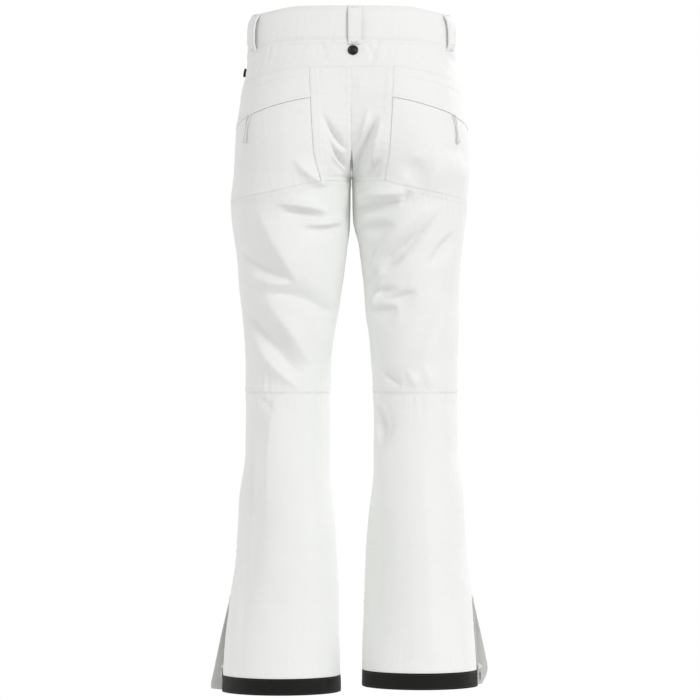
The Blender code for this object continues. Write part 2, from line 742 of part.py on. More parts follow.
def cuff_zip(name, side):
    """The cuff's two zip tapes, which part below the slit's top, with the slider parked at the hem end of
    the back tape."""
    top, out = shell(side, 0.0, SLIT_TOP - 0.004)
    tape = (
        (-0.0030, 0.0), (-0.0030, 0.0006), (0.0006, 0.0006), (0.0006, CHAIN_HEIGHT), (0.0030, CHAIN_HEIGHT),
        (0.0030, 0.0),
    )  # fmt: skip
    stringers = []
    for label, way in (("back", -1), ("front", 1)):
        hem, _ = shell(side, way * (slit_angle(HEM) - 0.036), HEM + 0.003)
        first, last = hem + out * 0.0006, top + out * 0.0006
        last.y += way * 0.0012
        along = (last - first).normalized()
        across = Vector((0, -way, 0))
        across = (across - along * across.dot(along)).normalized()
        lift = out - along * out.dot(along) - across * out.dot(across)
        frames = [(first, across, lift.normalized(), 1.0), (last, across, lift.normalized(), 1.0)]
        stringers.append(sweep(f"cuff_zip_{label}_{name}", frames, tape, "zip"))
        if way < 0:
            back_line = (first, last, across, lift.normalized())
    union(stringers[0], stringers[1])
    stringers[0].name = f"cuff_zip_{name}"

    first, last, across, lift = back_line
    along = (last - first).normalized()
    middle = first + along * 0.036 + across * 0.0018
    ends = [middle - along * SLIDER_LENGTH / 2, middle + along * SLIDER_LENGTH / 2]
    wall, roof = 0.0024 / 2 + CLEAR, CHAIN_HEIGHT + CLEAR
    channel = (
        (-wall - 0.0012, 0.0006 + CLEAR), (-wall - 0.0012, roof + 0.0012), (wall + 0.0012, roof + 0.0012),
        (wall + 0.0012, -0.0004), (wall, -0.0004), (wall, roof), (-wall, roof), (-wall, 0.0006 + CLEAR),
    )  # fmt: skip
    frames = [(end, across, lift, 1.0) for end in ends]
    hinge = slider(f"cuff_slider_{name}", frames, channel, middle, lift)
    pull(f"cuff_pull_{name}", hinge, LUG_HALF + 0.0004, 0.011, 0.0034, thickness=0.0018)


def clear_scene():
    for item in list(bpy.data.objects):
        bpy.data.objects.remove(item)


def main():
    clear_scene()
    waistband()
    waistband_facing()
    yoke()
    for name, side in SIDES:
        back_panels(name, side)
        front_panels(name, side)
        lower_leg(name, side)
        cuff_gusset(name, side)
        gaiter(name, side)
        belt_loop(f"back_{name}", side, BACK_LOOP_ANGLE)
        belt_loop(f"front_{name}", side, FRONT_LOOP_ANGLE)
        back_pocket_zip(name, side)
        hand_pocket_zip(name, side)
        thigh_vent(name, side)
        cuff_zip(name, side)
    centre_loop()
    outer_snaps()
    waist_closure()
    fly()


main()
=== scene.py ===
"""Looks of the ski pants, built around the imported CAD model.

Every fabric panel is made again here at full detail. It follows the same shell surface as its CAD node, with
folds, puckers, rolled seam edges and sewn threads added. Zips get their coils and woven tapes, pulls their
two braided cords, and every surface a procedural material.
"""

import math

import bpy
import numpy as np
from mathutils import Matrix, Vector


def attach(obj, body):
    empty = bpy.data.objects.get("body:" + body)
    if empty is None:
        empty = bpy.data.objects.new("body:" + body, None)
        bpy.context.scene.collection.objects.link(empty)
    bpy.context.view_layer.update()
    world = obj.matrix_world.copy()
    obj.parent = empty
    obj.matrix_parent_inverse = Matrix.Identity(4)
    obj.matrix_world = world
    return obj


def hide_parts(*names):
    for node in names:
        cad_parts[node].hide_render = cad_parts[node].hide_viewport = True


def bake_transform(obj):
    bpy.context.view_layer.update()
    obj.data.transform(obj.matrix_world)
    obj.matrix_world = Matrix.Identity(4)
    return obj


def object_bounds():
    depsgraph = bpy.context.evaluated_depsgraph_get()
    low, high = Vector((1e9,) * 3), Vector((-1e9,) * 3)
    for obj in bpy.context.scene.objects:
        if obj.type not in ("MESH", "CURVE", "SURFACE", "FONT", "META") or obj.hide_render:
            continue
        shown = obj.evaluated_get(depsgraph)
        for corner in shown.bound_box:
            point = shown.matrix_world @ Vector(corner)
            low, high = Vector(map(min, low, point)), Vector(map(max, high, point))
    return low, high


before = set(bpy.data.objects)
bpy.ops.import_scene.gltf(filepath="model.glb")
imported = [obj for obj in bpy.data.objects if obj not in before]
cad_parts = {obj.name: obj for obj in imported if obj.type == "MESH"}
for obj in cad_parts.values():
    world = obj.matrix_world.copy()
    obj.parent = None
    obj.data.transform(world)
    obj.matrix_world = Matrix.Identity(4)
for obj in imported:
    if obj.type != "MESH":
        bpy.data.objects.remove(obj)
CAD_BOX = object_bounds()

# ---- The cut, as in the CAD. Lengths are in metres throughout, and angles in radians ---------------------
FABRIC = 0.0020
LAYER = 0.0006  # between a piece and the one that it lies on
WAIST_TOP = 0.0
FRONT_DIP = 0.008  # how far the waistband's top dips at the fly
BAND_BOTTOM = -0.050
YOKE_BOTTOM = -0.0855
CROTCH = -0.253
UNDER_SEAT = -0.2595
KNEE = -0.585
SLIT_TOP = -0.900
HEM = -1.048
SEAT_SHARE = 0.3  # share of a back panel's columns that lie inside the pocket seam

# Lines of the cut: (height, distance) pairs.
SIDE_X = (
    (0.0, 0.156), (-0.03, 0.1605), (-0.07, 0.1605), (-0.13, 0.172), (-0.20, 0.1805), (-0.285, 0.183),
    (-0.40, 0.172), (KNEE, 0.164), (-0.67, 0.1645), (-0.75, 0.174), (-0.83, 0.178), (SLIT_TOP, 0.187),
    (HEM, 0.199),
)
BACK_Y = (
    (0.0, -0.098), (-0.05, -0.105), (-0.13, -0.126), (-0.19, -0.132), (-0.26, -0.121), (-0.34, -0.107),
    (KNEE, -0.083), (-0.70, -0.086), (SLIT_TOP, -0.094), (HEM, -0.100),
)
FRONT_Y = (
    (0.0, 0.098), (-0.05, 0.105), (-0.13, 0.108), (-0.28, 0.102), (KNEE, 0.089), (-0.72, 0.079),
    (-0.88, 0.083), (HEM, 0.100),
)
CENTRE_X = (
    (0.0, 0.0), (-0.05, 0.012), (-0.10, 0.045), (-0.16, 0.074), (-0.20, 0.086), (CROTCH, 0.0915),
    (-0.40, 0.0925), (KNEE, 0.099), (-0.80, 0.1015), (HEM, 0.1078),
)
CENTRE_Y = ((0.0, 0.0), (-0.15, -0.008), (CROTCH, -0.014), (-0.40, -0.006), (KNEE, 0.002), (HEM, 0.0))
INNER_REACH = (
    (0.0, 0.30), (-0.05, 0.30), (-0.10, 0.262), (-0.16, 0.195), (-0.20, 0.148), (-0.235, 0.108),
    (CROTCH, 0.0915),
)
INSEAM_X = (
    (CROTCH, 0.0006), (-0.318, 0.0025), (-0.38, 0.0085), (-0.443, 0.017), (-0.505, 0.028), (KNEE, 0.034),
    (-0.70, 0.0335), (-0.79, 0.026), (SLIT_TOP, 0.020), (HEM, 0.0165),
)
SEAT_SEAM_X = ((YOKE_BOTTOM, 0.065), (-0.1356, 0.0625), (-0.215, 0.058), (UNDER_SEAT, 0.051), (-0.30, 0.051))
# The plane of the back pocket's slot: its height, and its slopes in x and y
POCKET_CUT = (-0.1529, -0.159, -0.228)
POCKET_ZIP = (0.325, 0.765)  # the shares of a back panel's columns between which the zip runs

LOOP_WIDTH = 0.020
BACK_LOOP_ANGLE = math.radians(-21)
FRONT_LOOP_ANGLE = math.radians(58)
CENTRE_LOOP_X = 0.005
TAB_LENGTH = 0.050
TAB_LIFT = 0.0036
SLIT_ANGLES = (math.radians(2.4), math.radians(12.0))  # half of the cuff slit, at its top and at the hem
GUSSET_BULGE = 0.0185
VENT_ANGLE = math.radians(147)
CHAIN_WIDTH = 0.005
CHAIN_HEIGHT = 0.0016
SLIDER_LENGTH = 0.010
ROOF = CHAIN_HEIGHT + 0.0005 + 0.0012  # a slider's top, above the tape
LUG_HEIGHT = ROOF + 0.0019  # a pull's axis, above the tape
LUG_HALF = 0.0007
FIN_LENGTH = 0.0044
SIDES = (("left", -1), ("right", 1))

# ---- The cut, where it follows the photograph more closely than the CAD does -----------------------------
GAP = 0.0001  # what is left open between two panels at a seam
SEAT_GAP = 0.0006  # share of a back panel's columns that is left open on either side of the pocket seam
POCKET_SLOT = 0.0006  # the visible opening between the back pocket's welt and its panel
BACK_RISE = 0.0085  # how much higher the waistband's top is in the middle of the back
SIDE_DROP = 0.008  # how much lower it is at the sides
BAND_RISE = 0.0075  # how much higher the seam under the waistband is in the middle of the back
BAND_DROP = 0.0100  # how much lower it is at the sides
LOOP_STAND_OFF = 0.0052
CENTRE_LOOP_STAND_OFF = 0.0034
RIGHT_CUFF_LIFT = 0.0085  # how much higher the hem of the wearer's right leg hangs
GUARD_HEIGHT = 0.0255
GUSSET_TOP = -0.893

# ---- Making ----------------------------------------------------------------------------------------------
GRID = 0.0026  # spacing of a panel's points
FINE_GRID = 0.0022  # the same on the seat and the back pockets
TRIM_GRID = 0.0016  # and on the waist tab and the placket
EDGE_STEPS = (0.0, 0.0004, 0.0009, 0.0015, 0.0021, 0.0029, 0.0040, 0.0055)  # closer together at its borders
ROLL_WIDTH = 0.0009  # how far in from its border a panel's edge rolls under
STITCH_PITCH = 0.0031
STITCH_LENGTH = 0.0024
THREAD_RADIUS = 0.00024


# ---- The shell surface, on arrays ------------------------------------------------------------------------
def smooth(low, high, x):
    t = np.clip((x - low) / (high - low), 0.0, 1.0)
    return t * t * (3 - 2 * t)


def mix(a, b, t):
    return a + (b - a) * t


def unit(vectors):
    """The vectors' directions, each of length 1."""
    return vectors / np.maximum(np.linalg.norm(vectors, axis=-1, keepdims=True), 1e-12)


def profile(points):
    """A smooth function of height through the points of one line of the cut."""
    heights, values = np.array(sorted(points)).T
    steps = np.diff(values) / np.diff(heights)
    inner = [0.0 if a * b <= 0 else 2 * a * b / (a + b) for a, b in zip(steps, steps[1:])]
    slopes = np.array([steps[0], *inner, steps[-1]])

    def value(z):
        z = np.clip(z, heights[0], heights[-1])
        i = np.clip(np.searchsorted(heights, z, side="right") - 1, 0, len(heights) - 2)
        width = heights[i + 1] - heights[i]
        t = (z - heights[i]) / width
        start = values[i] * (1 + 2 * t) * (1 - t) ** 2 + slopes[i] * width * t * (1 - t) ** 2
        return start + values[i + 1] * t * t * (3 - 2 * t) + slopes[i + 1] * width * t * t * (t - 1)

    return value


side_x, back_y, front_y = profile(SIDE_X), profile(BACK_Y), profile(FRONT_Y)
centre_x, centre_y, uncut_reach = profile(CENTRE_X), profile(CENTRE_Y), profile(INNER_REACH)
inseam_x, seat_seam_x = profile(INSEAM_X), profile(SEAT_SEAM_X)


def inner_reach(z):
    return np.where(z > CROTCH, uncut_reach(z), centre_x(z) - inseam_x(z))


def widest_angle(z):
    """The angle at which one side's oval meets the other's, or at the inseam below the crotch."""
    return np.where(z > CROTCH, np.arccos(np.clip(-centre_x(z) / uncut_reach(z), -1, 1)), math.pi)


def oval(angle, z):
    """Points of the right side's shell. The angle is 0 at the side seam, and positive towards the front."""
    across, along = np.cos(angle), np.sin(angle)
    reach_x = np.where(across > 0, side_x(z) - centre_x(z), inner_reach(z))
    reach_y = np.where(along > 0, front_y(z) - centre_y(z), centre_y(z) - back_y(z))
    x, y = centre_x(z) + reach_x * across, centre_y(z) + reach_y * along
    return np.stack(np.broadcast_arrays(x, y, z), -1)


def shell(side, angle, z):
    """Points and outward normals of the shell, on the wearer's right (+1) or left (-1)."""
    side, angle, z = np.broadcast_arrays(*(np.asarray(v, float) for v in (side, angle, z)))
    step = 1e-4
    points = oval(angle, z)
    around = oval(angle + step, z) - oval(angle - step, z)
    down = oval(angle, z - step) - oval(angle, z + step)
    normals = unit(np.cross(down, around))
    outward = points - np.stack(np.broadcast_arrays(centre_x(z), centre_y(z), z), -1)
    normals *= np.where((normals * outward).sum(-1, keepdims=True) < 0, -1.0, 1.0)
    points[..., 0] += GAP / 2
    points[..., 0] *= side
    normals[..., 0] *= side
    return points, normals


def spot(side, angle, z):
    """One point of the shell and its normal, as vectors."""
    point, normal = shell(side, angle, z)
    return Vector(point), Vector(normal)


def angle_at(x, z):
    """The angle of the back's point at this distance from the middle plane. The front's is its negative."""
    reach = np.where(x > centre_x(z), side_x(z) - centre_x(z), inner_reach(z))
    return -np.arccos(np.clip((x - centre_x(z)) / reach, -1.0, 1.0))


def seam_angle(z):
    return GAP / 2 / (front_y(z) - centre_y(z))


def back_angle(share, z):
    """The angle at a share of the back's columns, from its centre seam to the side seam."""
    centre = -widest_angle(z) + np.where(z > CROTCH, 0.0, seam_angle(z))
    pocket = angle_at(seat_seam_x(z), z)
    inside = mix(centre, pocket, share / SEAT_SHARE)
    outside = mix(pocket, -seam_angle(z), (share - SEAT_SHARE) / (1 - SEAT_SHARE))
    return np.where(share < SEAT_SHARE, inside, outside)


def front_angle(share, z):
    """The angle at a share of the front's columns, from its side seam to the centre."""
    return mix(seam_angle(z), widest_angle(z), share)


def beyond_seat(share):
    return np.maximum(0.0, (share - SEAT_SHARE) / (1 - SEAT_SHARE))


def yoke_seam(share):
    return YOKE_BOTTOM - 0.027 * beyond_seat(share) ** 1.3


def pocket_line(share):
    """Height of the back pocket's slot, where its plane cuts the shell."""
    z = np.full_like(np.asarray(share, float), -0.15)
    for _ in range(12):
        point = oval(back_angle(share, z), z)
        z = POCKET_CUT[0] + POCKET_CUT[1] * point[..., 0] + POCKET_CUT[2] * point[..., 1]
    return z


def pocket_gap(share):
    """How far the slot's edge lies from its middle: open along the zip, and closed beyond it."""
    zipped = smooth(POCKET_ZIP[0] - 0.012, POCKET_ZIP[0] + 0.004, share)
    zipped = zipped * (1 - smooth(POCKET_ZIP[1] - 0.004, POCKET_ZIP[1] + 0.012, share))
    return mix(0.0002, POCKET_SLOT / 2, zipped)


def under_seat_seam(share):
    return UNDER_SEAT - 0.0285 * (1 - (1 - beyond_seat(share)) ** 1.8)


def slit_angle(z):
    return np.where(z > SLIT_TOP, seam_angle(z), mix(*SLIT_ANGLES, (SLIT_TOP - z) / (SLIT_TOP - HEM)))


def hem_height(side):
    return HEM + (RIGHT_CUFF_LIFT if side > 0 else 0.0)


def waist_drop(angle):
    """How much lower the waistband's top edge is round the sides."""
    fading = np.where(angle < 0, math.radians(30), math.radians(45))
    return SIDE_DROP * (1 - smooth(0.0, fading, np.abs(angle)))


def back_rise(x):
    """How much higher than its ends the waistband's top edge stands at the back."""
    return BACK_RISE * (1 - smooth(0.080, 0.150, np.abs(x)))


def band_edge(angle_of, share):
    """Height of the seam under the waistband, high across the back and low at the sides."""
    z = BAND_BOTTOM
    for _ in range(4):
        angle = angle_of(share, z)
        back = mix(-BAND_DROP, BAND_RISE, smooth(0.0, math.radians(60), -angle))
        front = -BAND_DROP * (1 - smooth(0.0, math.radians(70), angle))
        z = BAND_BOTTOM + np.where(angle < 0, back, front)
    return z


# ---- Folds -----------------------------------------------------------------------------------------------
FOLD_DEPTH = 3.0  # scales every fold below
DEEPEST_FOLD = 16.0  # millimetres
# Each fold runs from one (x, z) to another, in millimetres. bend bows it sideways, height is positive for a
# ridge and negative for a valley, upper and lower are the widths of its two flanks, on its left and on its
# right as it runs, and peak, where it isn't a half, is the share of its length at which it is highest.
BACK_FOLDS = (
    # whiskers at the crotch, the wearer's left
    ((-47, -151), (-8, -215), -3, -4.5, 4, 9, 0.65),
    ((-37, -189), (-8, -242), -2, -4.5, 4, 7, 0.65),
    ((-34, -221), (-11, -248), -1, -3.0, 3, 5, 0.6),
    # and the wearer's right, where one deep fold falls to the crotch
    ((42, -158), (0, -252), -4, -8.5, 20, 5, 0.6),
    ((26, -146), (4, -214), 4, 2.6, 5, 5),
    ((47, -158), (24, -254), 0, 5.5, 12, 8),
    ((46, -224), (18, -257), 1, -3.2, 8, 6, 0.6),
    # the corner of the left pocket
    ((-92, -222), (-38, -270), -4, 4.0, 14, 7, 0.6),
    # left thigh
    ((-116, -296), (-32, -311), 5, 5.0, 14, 6),
    ((-112, -309), (-36, -322), 4, -2.9, 8, 12),
    ((-80, -326), (-8, -320), -3, 3.0, 8, 5),
    ((-78, -335), (-10, -328), -3, -2.2, 7, 12),
    ((-142, -306), (-82, -424), 3, 6.5, 30, 11),
    ((-172, -355), (-88, -414), -14, -4.5, 12, 8, 0.55),
    ((-157, -404), (-90, -417), -3, 3.5, 8, 9),
    ((-134, -434), (-20, -468), 9, -6.5, 13, 6),
    ((-168, -450), (-68, -560), -10, -7.0, 18, 11),
    ((-134, -438), (-62, -546), 4, 3.5, 16, 14),
    ((-160, -480), (-80, -580), -7, 3.5, 8, 11, 0.6),
    ((-44, -470), (-30, -560), 4, 1.8, 16, 12, 0.4),
    # right thigh
    ((4, -283), (86, -279), 1, 6.5, 9, 6, 0.55),
    ((4, -301), (84, -292), -1, -7.0, 5, 12, 0.45),
    ((90, -274), (74, -300), 2, -2.4, 6, 8),
    ((6, -330), (76, -326), -2, -5.0, 8, 14, 0.4),
    ((20, -412), (140, -304), -8, -6.5, 9, 5, 0.45),
    ((18, -388), (122, -298), 2, 4.0, 12, 8),
    ((38, -402), (82, -374), 3, -5.5, 5, 5),
    ((30, -414), (62, -380), 2, 3.6, 6, 6),
    ((46, -444), (103, -428), -2, -3.9, 6, 14),
    ((26, -462), (72, -456), 1, -4.4, 6, 14),
    ((24, -431), (74, -425), 1, -3.2, 5, 9, 0.4),
    ((50, -352), (18, -410), -2, 2.0, 5, 4),
    ((48, -408), (28, -474), -4, 2.2, 5, 5),
    ((46, -384), (102, -336), -2, -3.2, 4, 6),
    ((134, -438), (96, -516), 3, -1.8, 12, 16),
    ((116, -392), (163, -336), -3, -4.5, 7, 7),
    ((140, -420), (96, -560), 6, 3.6, 22, 18),
    ((45, -548), (78, -574), -3, -2.6, 7, 5),
    ((84, -548), (100, -580), 2, 2.6, 9, 8),
    ((112, -540), (120, -582), 1, 1.8, 8, 8),
    # right pocket
    ((128, -206), (112, -290), 2, 4.5, 32, 13, 0.35),
    ((104, -224), (84, -262), 0, -2.0, 14, 14),
    # shins
    ((30, -588), (32, -694), 17, -4.5, 11, 5, 0.45),
    ((26, -600), (28, -700), 14, 2.0, 6, 6),
    ((34, -700), (26, -1000), 3, -3.6, 48, 16, 0.6),
    ((-142, -588), (-168, -1010), -8, -5.0, 24, 14),
    ((-120, -590), (-140, -800), 2, 2.6, 22, 9, 0.4),
    ((-60, -640), (-72, -980), 0, 2.0, 30, 30),
    ((-143, -592), (-118, -618), 2, -1.3, 8, 7),
    ((108, -670), (122, -1000), 0, 3.0, 16, 50, 0.6),
    # yoke and waist
    ((22, -46), (38, -84), 1, -0.9, 4, 4),
    ((-48, -48), (-38, -72), 1, -0.6, 4, 4),
    ((-66, -60), (-30, -82), 2, -0.6, 5, 5),
    ((14, -84), (12, -140), 0, 0.6, 9, 9),
)
# The right side's folds on the front. The left side has them mirrored and a little lower.
FRONT_FOLDS = (
    ((24, -150), (70, -118), 2, -3.0, 8, 6, 0.4),
    ((16, -186), (92, -158), 4, -4.0, 9, 7, 0.35),
    ((12, -222), (108, -206), 5, -4.5, 9, 8, 0.35),
    ((8, -246), (84, -268), 4, -4.0, 8, 8, 0.35),
    ((10, -280), (70, -330), 5, -3.4, 8, 9, 0.4),
    ((148, -250), (96, -330), -6, 3.0, 20, 16),
    ((150, -360), (60, -420), -5, -3.0, 12, 12),
    ((46, -430), (140, -476), 6, 3.0, 12, 14),
    ((158, -480), (70, -520), -4, -4.0, 10, 12),
    ((48, -530), (140, -552), 5, 4.0, 12, 9),
    ((150, -566), (66, -580), -3, -4.0, 8, 10),
    ((56, -600), (146, -618), 4, 3.6, 11, 10),
    ((140, -640), (64, -664), -4, -3.4, 10, 12),
    ((100, -680), (108, -960), 3, 3.0, 26, 26, 0.4),
    ((60, -760), (54, -990), -3, -3.0, 18, 22),
    ((156, -740), (164, -940), 3, -2.6, 20, 16),
    ((80, -985), (150, -1004), 3, 1.6, 9, 7),
)
RIGHT_FRONT, LEFT_FRONT = 0.7, 0.6  # the shares of their height that the two sides' front folds have
# Slow bows of a leg's outline, in millimetres: on the wearer's right (1) or left (-1), at its outside (1) or
# inside (-1), how far out, and the heights between which it starts and between which it ends.
BOWS = (
    (1, 1, -4.0, (-240, -290), (-400, -520)),
    (-1, 1, 4.0, (-240, -290), (-400, -520)),
    (1, -1, -6.0, (-310, -360), (-410, -480)),
    (-1, 1, 3.5, (-860, -960), (-1100, -1200)),
)
# What a front pocket, a vent and the fly hold flat, from one (angle, height) to another.
FITTINGS = (
    ((-angle_at(0.098, -0.078), -0.078), (-angle_at(0.142, -0.205), -0.205)),
    ((VENT_ANGLE, -0.340), (VENT_ANGLE, -0.550)),
    ((-angle_at(0.014, -0.060), -0.060), (-angle_at(0.014, -0.185), -0.185)),
)


def fold_height(x, z, start, end, bend, height, upper, lower, peak=0.5):
    """One fold's height at each (x, z), in millimetres."""
    run = np.array(end, float) - start
    length = np.hypot(*run)
    t = ((x - start[0]) * run[0] + (z - start[1]) * run[1]) / length**2
    aside = ((z - start[1]) * run[0] - (x - start[0]) * run[1]) / length - bend * 4 * t * (1 - t)
    inside = np.clip(t, 1e-6, 1 - 1e-6)
    rise, fall = 3.0 * peak, 3.0 * (1 - peak)
    taper = inside**rise * (1 - inside) ** fall / (peak**rise * (1 - peak) ** fall)
    width = np.where(aside > 0, upper, lower) * (0.55 + 0.45 * taper)
    return height * taper * np.exp(-np.abs(aside / width) ** 1.4)


def wave_field(seed, size, points):
    """Smooth noise from -1 to 1 that changes over about this size, as a sum of plane waves."""
    random = np.random.default_rng(seed)
    total = np.zeros(points.shape[:-1])
    for _ in range(14):
        direction = random.normal(size=3) * np.array((1.0, 1.0, 0.7))
        direction *= 2 * math.pi / (size * random.uniform(0.8, 1.7)) / np.linalg.norm(direction)
        total += np.sin(points @ direction + random.uniform(0, 2 * math.pi))
    return total / 5.3


def away_from_fittings(points):
    """0 on the cloth that a front pocket, a vent or the fly holds flat, rising to 1 a little way off."""
    share = np.ones(points.shape[:-1])
    here = np.concatenate([np.abs(points[..., :1]), points[..., 1:]], -1)
    for ends in FITTINGS:
        first, last = (shell(1.0, angle, z)[0] for angle, z in ends)
        run = last - first
        t = np.clip(((here - first) @ run) / (run @ run), 0.0, 1.0)
        distance = np.linalg.norm(here - first - t[..., None] * run, axis=-1)
        share = np.minimum(share, smooth(0.012, 0.036, distance))
    return share


def folds(points, normals):
    """How far the hanging cloth stands off the shell at each point, in metres."""
    x, z = points[..., 0] * 1000, points[..., 2] * 1000
    back = smooth(0.05, 0.45, -normals[..., 1])
    front = smooth(0.05, 0.45, normals[..., 1])
    total = np.zeros(x.shape)
    for fold in BACK_FOLDS:
        total += back * fold_height(x, z, *fold)
    for start, end, *rest in FRONT_FOLDS:
        total += RIGHT_FRONT * front * np.where(x > 0, fold_height(x, z, start, end, *rest), 0.0)
        start, end = (start[0], start[1] - 7), (end[0] * 0.96, end[1] - 13)
        total += LEFT_FRONT * front * np.where(x < 0, fold_height(-x, z, start, end, *rest), 0.0)
    total = DEEPEST_FOLD * np.tanh(FOLD_DEPTH * total / DEEPEST_FOLD)
    # The waistband and the hem guards are stiffer, so less uneven than the rest.
    calm = 1 - 0.75 * smooth(-60.0, -46.0, z) - 0.5 * smooth(-1005.0, -1020.0, z)
    drape = 0.9 * wave_field(3, 0.075, points) + 0.35 * wave_field(5, 0.03, points)
    flutes = 1.1 * smooth(-640.0, -900.0, z) * wave_field(8, 0.11, points * np.array((1.0, 1.0, 0.12)))
    total += calm * drape + flutes
    for leg, way, height, start, end in BOWS:
        facing = np.maximum(0.0, way * normals[..., 0] * np.sign(x)) * (np.sign(x) == leg)
        total += height * facing * smooth(*start, z) * (1 - smooth(*end, z))
    return 1e-3 * away_from_fittings(points) * total


# ---- Materials -------------------------------------------------------------------------------------------
WAVES_A_METRE = 3.2  # how many bands a Wave Texture of scale 1 has in a metre


class Nodes:
    """A material's node tree with short ways to add to it."""

    def __init__(self, name):
        self.material = bpy.data.materials.new(name)
        self.material.use_nodes = True
        self.tree = self.material.node_tree
        self.shader = self.tree.nodes["Principled BSDF"]

    def add(self, kind, **settings):
        node = self.tree.nodes.new(f"ShaderNode{kind}")
        for key, value in settings.items():
            if hasattr(node, key):
                setattr(node, key, value)
            else:
                node.inputs[key.replace("_", " ").title()].default_value = value
        return node

    def link(self, source, target):
        self.tree.links.new(source, target)

    def math(self, operation, *values):
        node = self.add("Math", operation=operation)
        for socket, value in zip(node.inputs, values):
            if isinstance(value, (int, float)):
                socket.default_value = value
            else:
                self.link(value, socket)
        return node.outputs[0]

    def blend(self, first, second, share):
        """A share of the first value and the rest of the second."""
        return self.math("ADD", self.math("MULTIPLY", first, share), self.math("MULTIPLY", second, 1 - share))

    def place(self, uv=False, turn=0.0):
        """Coordinates in metres: in the part's own space, or across and along the cut cloth."""
        if uv:
            source = self.add("UVMap", uv_map="cloth").outputs["UV"]
        else:
            source = self.add("TexCoord").outputs["Object"]
        mapping = self.add("Mapping", rotation=(0.0, 0.0, turn))
        self.link(source, mapping.inputs["Vector"])
        return mapping.outputs[0]

    def noise(self, scale, detail=3.0, roughness=0.5, coordinates=None):
        node = self.add("TexNoise", scale=scale, detail=detail, roughness=roughness)
        self.link(coordinates or self.place(), node.inputs["Vector"])
        return node.outputs["Fac"]

    def wave(self, coordinates, scale, direction="X"):
        node = self.add("TexWave", scale=scale, bands_direction=direction)
        self.link(coordinates, node.inputs["Vector"])
        return node.outputs["Fac"]

    def weave(self, pitch, turn=0.0):
        """The height of a plain or twill weave, whose ribs are a pitch apart."""
        cloth = self.place(True, turn)
        return self.math("MULTIPLY", *(self.wave(cloth, 1 / pitch / WAVES_A_METRE, way) for way in "XY"))

    def colour(self, value, *stops):
        """Base colour from a 0 to 1 value, through (position, colour) stops."""
        ramp = self.add("ValToRGB")
        elements = ramp.color_ramp.elements
        for element, (position, shade) in zip(elements, (stops[0], stops[-1])):
            element.position = position
            element.color = (*shade, 1)
        for position, shade in stops[1:-1]:
            elements.new(position).color = (*shade, 1)
        self.link(value, ramp.inputs["Fac"])
        self.link(ramp.outputs["Color"], self.shader.inputs["Base Color"])

    def done(self, roughness, bumps, **values):
        """The material. roughness is (value, lowest, highest), bumps lie one over another, each as (height
        value, depth in metres, strength), and values are the shader's own numbers."""
        value, low, high = roughness
        node = self.add("MapRange", to_min=low, to_max=high)
        self.link(value, node.inputs["Value"])
        self.link(node.outputs["Result"], self.shader.inputs["Roughness"])
        below = None
        for height, depth, strength in bumps:
            node = self.add("Bump", strength=strength, distance=depth)
            self.link(height, node.inputs["Height"])
            if below is not None:
                self.link(below, node.inputs["Normal"])
            below = node.outputs["Normal"]
        if below is not None:
            self.link(below, self.shader.inputs["Normal"])
        for key, number in values.items():
            self.shader.inputs[key.replace("_", " ")].default_value = number
        return self.material


def sheen(weight, roughness):
    return {"Sheen_Weight": weight, "Sheen_Roughness": roughness}


def shell_cloth():
    """White two-layer shell: a fine twill with a dry, slightly chalky face."""
    made = Nodes("shell")
    broad, slub = made.noise(9.0, 4.0), made.noise(160.0, 4.0, 0.6, made.place(True))
    grain = made.noise(900.0, 2.0, coordinates=made.place(True))
    whites = (0.30, (0.755, 0.766, 0.745)), (0.50, (0.778, 0.786, 0.768)), (0.72, (0.795, 0.801, 0.784))
    made.colour(made.blend(broad, slub, 0.45), *whites)
    twill = made.weave(0.0007, math.radians(63))
    bumps = (twill, 0.00012, 0.55), (slub, 0.00025, 0.35), (grain, 0.00008, 0.4)
    return made.done((slub, 0.66, 0.86), bumps, **sheen(0.06, 0.45), Specular_IOR_Level=0.2)


def lining_cloth():
    """Grey taffeta of the gussets, gaiters and facing."""
    made = Nodes("lining")
    broad, slub = made.noise(22.0, 4.0), made.noise(260.0, 3.0, 0.6, made.place(True))
    made.colour(made.blend(broad, slub, 0.5), (0.3, (0.41, 0.417, 0.396)), (0.7, (0.50, 0.504, 0.480)))
    bumps = (made.weave(0.0005), 0.0001, 0.5), (broad, 0.0012, 0.5), (slub, 0.0002, 0.3)
    return made.done((slub, 0.42, 0.62), bumps, **sheen(0.25, 0.35), Specular_IOR_Level=0.45)


def guard_cloth():
    """Black coated hem guard with a coarse basket weave, dusty where it rubs."""
    made = Nodes("guard")
    dust, grain = made.noise(60.0, 5.0, 0.65), made.noise(700.0, 2.0, coordinates=made.place(True))
    blacks = (0.35, (0.003, 0.003, 0.0024)), (0.62, (0.005, 0.005, 0.004)), (0.8, (0.010, 0.0096, 0.008))
    made.colour(dust, *blacks)
    bumps = (made.weave(0.0012), 0.0003, 0.8), (grain, 0.0001, 0.4)
    return made.done((dust, 0.48, 0.72), bumps, **sheen(0.02, 0.5), Specular_IOR_Level=0.2)


def zip_tape():
    """Woven white polyester tape and its moulded coil."""
    made = Nodes("zip")
    tone = made.noise(420.0)
    made.colour(tone, (0.3, (0.70, 0.71, 0.69)), (0.7, (0.80, 0.805, 0.79)))
    bumps = (made.wave(made.place(True), 300.0, "Y"), 0.0001, 0.5), (tone, 0.0001, 0.3)
    return made.done((tone, 0.34, 0.58), bumps, Specular_IOR_Level=0.5)


